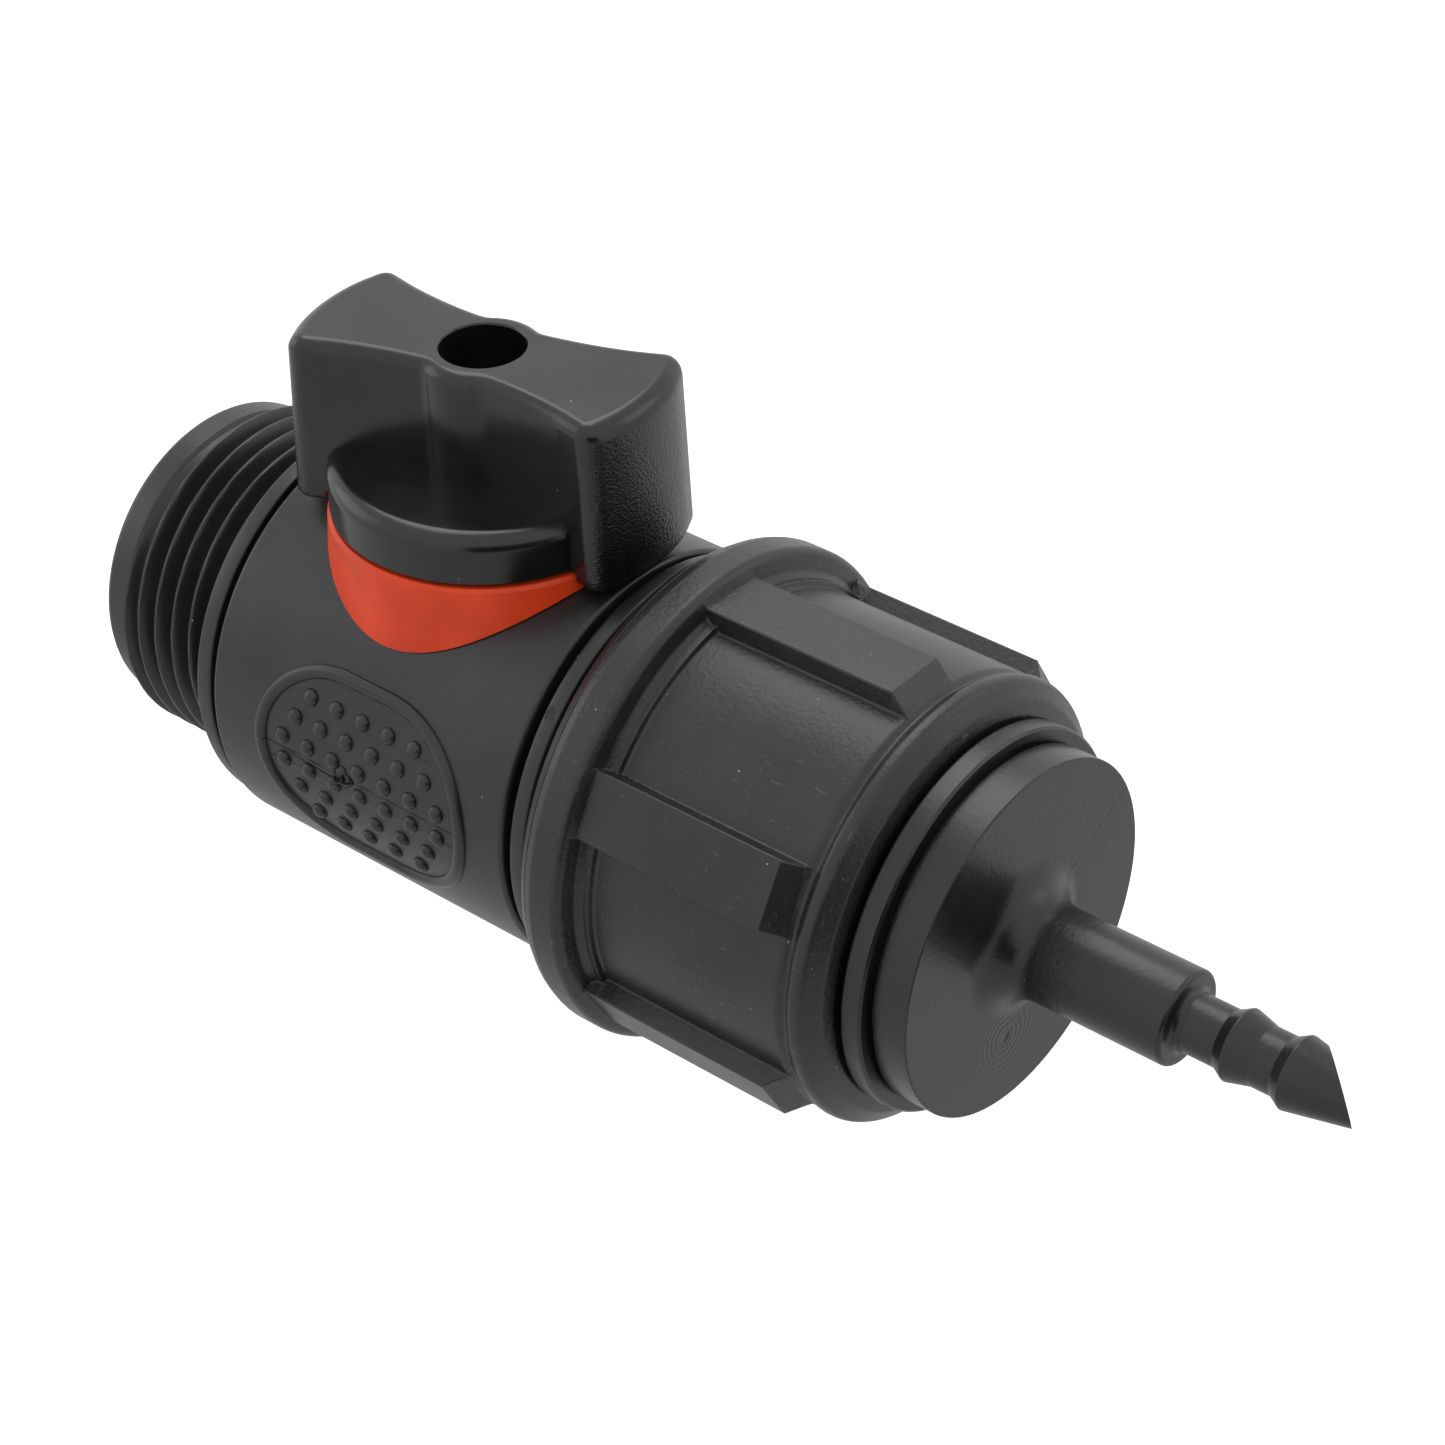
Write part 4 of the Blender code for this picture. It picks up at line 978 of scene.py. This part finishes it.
@dataclass
class CompressionNut:
    """The six-ribbed compression nut."""

    back_x: float = 47.4
    front_x: float = 71.7
    wall_r: float = 16.3
    rim_r: float = 18.65
    rib_half: float = 2.5
    rib_r: float = 17.65
    ribs: int = 6
    first_rib: float = math.radians(30)
    thread: Thread = Thread(15.05, -0.85, 52.0, 3.0, 2.6, tip=0.3, foot=0.65, run_out=0.08)
    inner_r: float = 10.8

    def outside(self) -> np.ndarray:
        """The outer section from the back face to the front face, with rows where the ribs need them."""
        rim, wall = self.rim_r, self.wall_r
        whole = path(
            (self.back_x, 15.6, 0), (self.back_x, 17.7, 0.7), (48.3, 18.3, 0.1), (48.36, 18.12, 0.03),
            (48.46, 18.42, 0.06), (49.1, rim, 0.8), (51.45, rim, 0.75), (51.8, 17.1, 0.5),
            (52.2, 16.74, 0.2), (52.65, 16.72, 0.08), (52.76, 16.36, 0.08), (53.0, wall, 0.1),
            (68.6, wall, 0.8), (69.15, 16.0, 0.35), (69.75, 16.42, 0.5), (70.5, 16.38, 0.9),
            (71.45, 15.1, 0.8), (self.front_x, 14.1, 0.5), (self.front_x, 12.0, 0), (60.0, 9.0, 0), steps=7,
        )  # fmt: skip
        start = np.flatnonzero(np.abs(whole[:, 1] - 15.6) < 1e-6)[0]
        outer = np.roll(whole, -start, 0)
        outer = outer[: np.flatnonzero(np.abs(outer[:, 1] - 12.0) < 1e-6)[0]]
        extra = [55.0, 58.0, 61.0, 64.0, 66.5, 67.38, 67.42, 67.7, 68.0, 68.4, 68.7, 69.1, 69.35, 69.42]
        stations = np.array([x for x in extra if np.abs(outer[:, 0] - x).min() > 0.01])
        radii = np.interp(stations, outer[:, 0], outer[:, 1])
        merged = np.vstack([outer, np.column_stack([stations, radii])])
        body = merged[(merged[:, 0] > 53.2) & (merged[:, 0] < 69.5)]
        body = body[np.argsort(body[:, 0])]
        return np.vstack([outer[outer[:, 0] <= 53.2], body, outer[outer[:, 0] >= 69.5]])

    def inside(self) -> np.ndarray:
        """The inner section from the front face back to the thread's mouth, dense along the thread."""
        root = self.thread.root_r
        cone = np.array([
            (self.front_x, self.inner_r + 0.3), (self.front_x - 0.3, self.inner_r), (69.3, self.inner_r),
            (69.3, 12.2), (64.0, 13.6), (62.3, 14.2), (60.8, root),
        ])  # fmt: skip
        threaded = np.linspace(60.6, 49.6, 64)
        mouth = np.array([(47.8, root), (self.back_x, root + 0.4)])
        return np.vstack([cone, np.column_stack([threaded, np.full(len(threaded), root)]), mouth])

    def cross_section(self, wall: float, top: float) -> np.ndarray:
        """One sector of the nut across the waterway, its rib's middle on the second axis.

        The rib's top is the larger of its flat height and the wall's circle, so that it fades into the wall,
        and its four corners are rounded.

        Args:
            wall: the wall's radius at this station.
            top: the flat's distance from the waterway's axis.

        Returns:
            Points (across, outward), always equally many.
        """
        edge = math.degrees(math.asin(self.rib_half / wall))
        between = np.radians(np.linspace(edge + 1.1, 29.9, 9))
        across = np.array([-self.rib_half, -1.25, 0, 1.25, self.rib_half])
        crown = np.column_stack([across, np.maximum(top, np.sqrt(wall**2 - across**2))])
        foot = np.array([(self.rib_half, math.sqrt(wall**2 - self.rib_half**2) - 1e-3)])
        right = wall * np.column_stack([np.sin(between), np.cos(between)])
        corners = np.vstack([right[::-1] * (-1, 1), foot * (-1, 1), crown, foot, right])
        rounds = np.zeros(len(corners))
        rounds[[9, 10, 14, 15]] = (0.22, 0.16, 0.16, 0.22)
        picked = np.arange(5)[None, :] < np.where(rounds > 0, 5, 1)[:, None]
        return filleted(corners, rounds, 5)[picked]

    def build(self) -> None:
        """Builds the nut as one closed grid: ribbed rows outside, threaded rows inside."""
        outer, inner = self.outside(), self.inside()
        rib_x, rib_tops = [49.5, 67.4, 68.95], [self.rib_r, self.rib_r, 15.9]
        tops = np.interp(outer[:, 0], rib_x, rib_tops, left=0, right=0)
        sectors = np.array([self.cross_section(wall, top) for (_, wall), top in zip(outer, tops)])
        plain = self.cross_section(self.wall_r, 0)
        across = np.arctan2(plain[:, 0], plain[:, 1])
        middles = self.first_rib - np.arange(self.ribs) * TAU / self.ribs
        angles = (middles[:, None] - across[None, :]).ravel()
        length = np.hypot(sectors[..., 0], sectors[..., 1])
        bearing = np.arctan2(sectors[..., 0], sectors[..., 1])
        turned_by = (middles[None, :, None] - bearing[:, None, :]).reshape(len(outer), -1)
        radius = np.tile(length, (1, self.ribs))
        station = np.broadcast_to(outer[:, :1], radius.shape)
        outside = np.stack([station, radius * np.cos(turned_by), radius * np.sin(turned_by)], -1)
        inner_r = inner[:, 1:] + self.thread.lift(inner, angles)
        inner_x = np.broadcast_to(inner[:, :1], inner_r.shape)
        inside = np.stack([inner_x, inner_r * np.cos(angles), inner_r * np.sin(angles)], -1)
        nut = surface("ribbed_nut", np.concatenate([outside, inside]))
        dress(nut, NUT_FINISH, "nut", "compression_nut")


@dataclass
class BarbPlug:
    """The plug: spigot, two flange discs, sleeve, two barbs and an oblique hollow tip."""

    spigot_x: float = 50.25
    spigot_r: float = 10.5
    bore_r: float = 1.1
    cavity_r: float = 8.3
    floor_x: float = 73.2
    peak_x: float = 98.2
    peak_r: float = 2.65
    nose_x: float = 99.4
    taper: float = 0.196
    cut_x: float = 101.5
    cut_turn: float = math.radians(20)
    sides: int = 128

    def profile(self) -> np.ndarray:
        """The section from the tip's bore back through the spigot and forward to the last barb's peak."""
        whole = path(
            (self.cut_x - 4, self.bore_r, 0), (self.floor_x, self.bore_r, 0.2),
            (self.floor_x, self.cavity_r, 0.5), (self.spigot_x, self.cavity_r, 0.3),
            (self.spigot_x, 9.9, 0.1), (self.spigot_x + 1.2, self.spigot_r, 0.5),
            (72.1, self.spigot_r, 0.1), (72.1, 14.1, 0.28),
            (73.62, 14.1, 0.05), (73.8, 13.92, 0.04), (73.8, 12.7, 0.05), (74.08, 12.7, 0.05),
            (74.08, 13.1, 0.1), (76.8, 13.1, 0.12), (76.8, 3.45, 2.7), (89.9, 3.45, 0.35), (89.9, 2.1, 0.55),
            (93.0, 2.1, 0.3), (93.9, 2.62, 0.22), (95.7, 2.14, 0.7), (97.3, 2.14, 0.3),
            (self.peak_x, self.peak_r, 0.2), (self.nose_x, self.peak_r - self.taper * 1.2, 0),
            (self.nose_x, 1.5, 0), steps=8,
        )  # fmt: skip
        start = np.flatnonzero(np.abs(whole[:, 0] - (self.cut_x - 4)) < 1e-6)[0]
        ordered = np.roll(whole, -start, 0)
        return ordered[: np.flatnonzero(np.abs(ordered[:, 0] - self.nose_x) < 1e-6)[0]]

    def build(self) -> None:
        """Builds the plug as one closed grid.

        The nose is the cone r = peak - taper (x - peak station), carried to the plane
        x = cut - r cos(a - turn), with its rows evenly along it. The bore's edge lies on that plane.
        """
        angles = around(self.sides)
        lean = np.cos(angles - self.cut_turn)
        body = turned_rows(self.profile(), angles)
        line = self.peak_r + self.taper * self.peak_x
        end = (self.cut_x - lean * line) / (1 - self.taper * lean)
        first = body[-1, 0, 0] + 0.05
        share = np.linspace(0.04, 1, 12)[:, None]
        nose_x = first + (end - first) * share
        nose_r = line - self.taper * nose_x
        edge_r = np.array([0.97, 0.9])[:, None] * nose_r[-1]
        edge_x = self.cut_x - edge_r * lean
        edge_x[0] += 0.01
        bore_r = np.full((1, self.sides), self.bore_r)
        x = np.concatenate([nose_x, edge_x, self.cut_x - bore_r * lean])
        r = np.concatenate([nose_r, edge_r, bore_r])
        nose = np.stack([x, r * np.cos(angles), r * np.sin(angles)], -1)
        plug = surface("barbed_plug", np.concatenate([body, nose]))
        dress(plug, PLUG_FINISH, "plug", "barb_plug")


@dataclass
class InnerParts:
    """The CAD nodes that stay as they are and take a better finish."""

    finishes: dict = field(default_factory=lambda: {
        "stem": ACETAL_FINISH, "stem_washer": ACETAL_FINISH, "grip_ring": ACETAL_FINISH,
        "seat_carrier": CARRIER_FINISH, "pressing_bush": CARRIER_FINISH,
        "stem_ring_lower": RUBBER_FINISH, "stem_ring_upper": RUBBER_FINISH,
        "seat_ring_inlet": RUBBER_FINISH, "seat_ring_outlet": RUBBER_FINISH,
        "carrier_ring": RUBBER_FINISH, "spigot_ring": RUBBER_FINISH,
    })  # fmt: skip

    def build(self) -> None:
        """Puts each finish in its node's material slot."""
        for name, finish in self.finishes.items():
            coat(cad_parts[name], finish)
            LOG.info("%s: CAD node, %s", name, finish.name)


# ------------------------------------------------------------------ studio


@dataclass
class Studio:
    """The pale floor, the soft lights and the camera."""

    azimuth: float = math.radians(40.63)
    elevation: float = math.radians(36.40)
    roll: float = math.radians(-1.63)
    distance: float = 262.8
    aim: tuple[float, float] = (15.85, -2.56)
    lens: float = 88.84
    floor_z: float = -18.66
    lamps: tuple = (
        ("top_softbox", (-120, 150, 380), (40, 0, 0), 260, 0.5),
        ("left_softbox", (-400, -180, 170), (20, 0, 0), 300, 0.25),
        ("right_softbox", (330, 330, 240), (40, 0, 5), 220, 0.12),
    )
    horizon: tuple[float, float] = (-0.7, 0.3)
    surround: tuple[float, float] = (0.72, 1.08)
    card_spot: tuple[float, float, float] = (310.0, -200.0, 25.0)
    card_half: tuple[float, float] = (190.0, 110.0)
    floor_half: tuple[float, float] = (3000.0, 3000.0)

    def camera(self) -> None:
        """Places the camera along (sin az cos el, -cos az cos el, sin el), with a roll and a shifted aim."""
        az, el = self.azimuth, self.elevation
        back = Vector((math.sin(az) * math.cos(el), -math.cos(az) * math.cos(el), math.sin(el)))
        level = Vector((math.cos(az), math.sin(az), 0))
        upright = back.cross(level)
        right = level * math.cos(self.roll) + upright * math.sin(self.roll)
        up = upright * math.cos(self.roll) - level * math.sin(self.roll)
        spot = Vector((STEM_X, 0, 0)) + right * self.aim[0] + up * self.aim[1] + back * self.distance
        data = bpy.data.cameras.new("camera")
        data.lens = self.lens
        data.sensor_width = 36.0
        data.clip_start = 0.01
        camera = bpy.data.objects.new("camera", data)
        bpy.context.scene.collection.objects.link(camera)
        turn = Matrix((right, up, back)).transposed().to_4x4()
        camera.matrix_world = Matrix.Translation(spot * MM) @ turn
        bpy.context.scene.camera = camera

    def facing(self, spot: tuple, target: tuple, axis: str) -> Matrix:
        """The place of something at spot, in millimetres, whose axis points at the target."""
        aim = Vector(target) - Vector(spot)
        return Matrix.Translation(Vector(spot) * MM) @ aim.to_track_quat(axis, "Y").to_matrix().to_4x4()

    def sheet(self, name: str, half: tuple, place: Matrix, **finish: object) -> bpy.types.Object:
        """A flat rectangle of the studio.

        Args:
            name: its name.
            half: half its width and half its depth.
            place: its matrix.
            finish: its shader's values.

        Returns:
            The new object, which stays out of the model.
        """
        mesh = bpy.data.meshes.new(name)
        signs = ((-1, -1), (1, -1), (1, 1), (-1, 1))
        mesh.from_pydata([(x * half[0] * MM, y * half[1] * MM, 0) for x, y in signs], [], [(0, 1, 2, 3)])
        tree = Tree(f"{name}_finish")
        tree.set(**finish)
        mesh.materials.append(tree.material)
        sheet = bpy.data.objects.new(name, mesh)
        sheet.matrix_world = place
        bpy.context.scene.collection.objects.link(sheet)
        return sheet

    def sheets(self) -> None:
        """A wide pale floor under the object, and a black card that some of its faces reflect."""
        flat = Matrix.Translation((0, 0, self.floor_z * MM))
        paper = {"Base_Color": grey(0.3), "Emission_Color": grey(1.0), "Emission_Strength": 1.0}
        floor = self.sheet("floor", self.floor_half, flat, Roughness=0.9, **paper)
        floor.visible_diffuse = False
        floor.visible_glossy = False
        upright = self.facing(self.card_spot, (STEM_X, 0, 0), "Z")
        card = self.sheet("black_card", self.card_half, upright, Base_Color=grey(0.01), Roughness=0.9)
        card.visible_camera = False

    def lights(self) -> None:
        """Square soft lights that face the object, and an even pale surround."""
        for name, spot, target, size, power in self.lamps:
            data = bpy.data.lights.new(name, "AREA")
            data.size = size * MM
            data.energy = power
            lamp = bpy.data.objects.new(name, data)
            lamp.matrix_world = self.facing(spot, target, "-Z")
            bpy.context.scene.collection.objects.link(lamp)
        world = bpy.data.worlds.new("surround")
        world.use_nodes = True
        nodes, links = world.node_tree.nodes, world.node_tree.links
        kinds = ("TexCoord", "SeparateXYZ", "MapRange")
        spot, split, level = (nodes.new(f"ShaderNode{kind}") for kind in kinds)
        keys = ("From Min", "From Max", "To Min", "To Max")
        for key, value in zip(keys, (*self.horizon, *self.surround)):
            level.inputs[key].default_value = value
        links.new(spot.outputs["Generated"], split.inputs[0])
        links.new(split.outputs["Z"], level.inputs["Value"])
        links.new(level.outputs[0], nodes["Background"].inputs["Strength"])
        nodes["Background"].inputs["Color"].default_value = grey(1.0)
        bpy.context.scene.world = world

    def build(self) -> None:
        """Sets up the whole studio."""
        bpy.context.scene.view_settings.view_transform = "Standard"
        self.camera()
        self.sheets()
        self.lights()


def main() -> None:
    """Builds the studio and every sub-assembly in order."""
    logging.basicConfig(level=logging.INFO, format="%(name)s: %(message)s")
    makers = (
        Studio, ValveBody, IndicatorCollar, Handle, HandleScrew, BallAndSeats, CompressionNut, BarbPlug,
        InnerParts,
    )  # fmt: skip
    for maker in makers:
        maker().build()


if __name__ == "__main__":
    main()
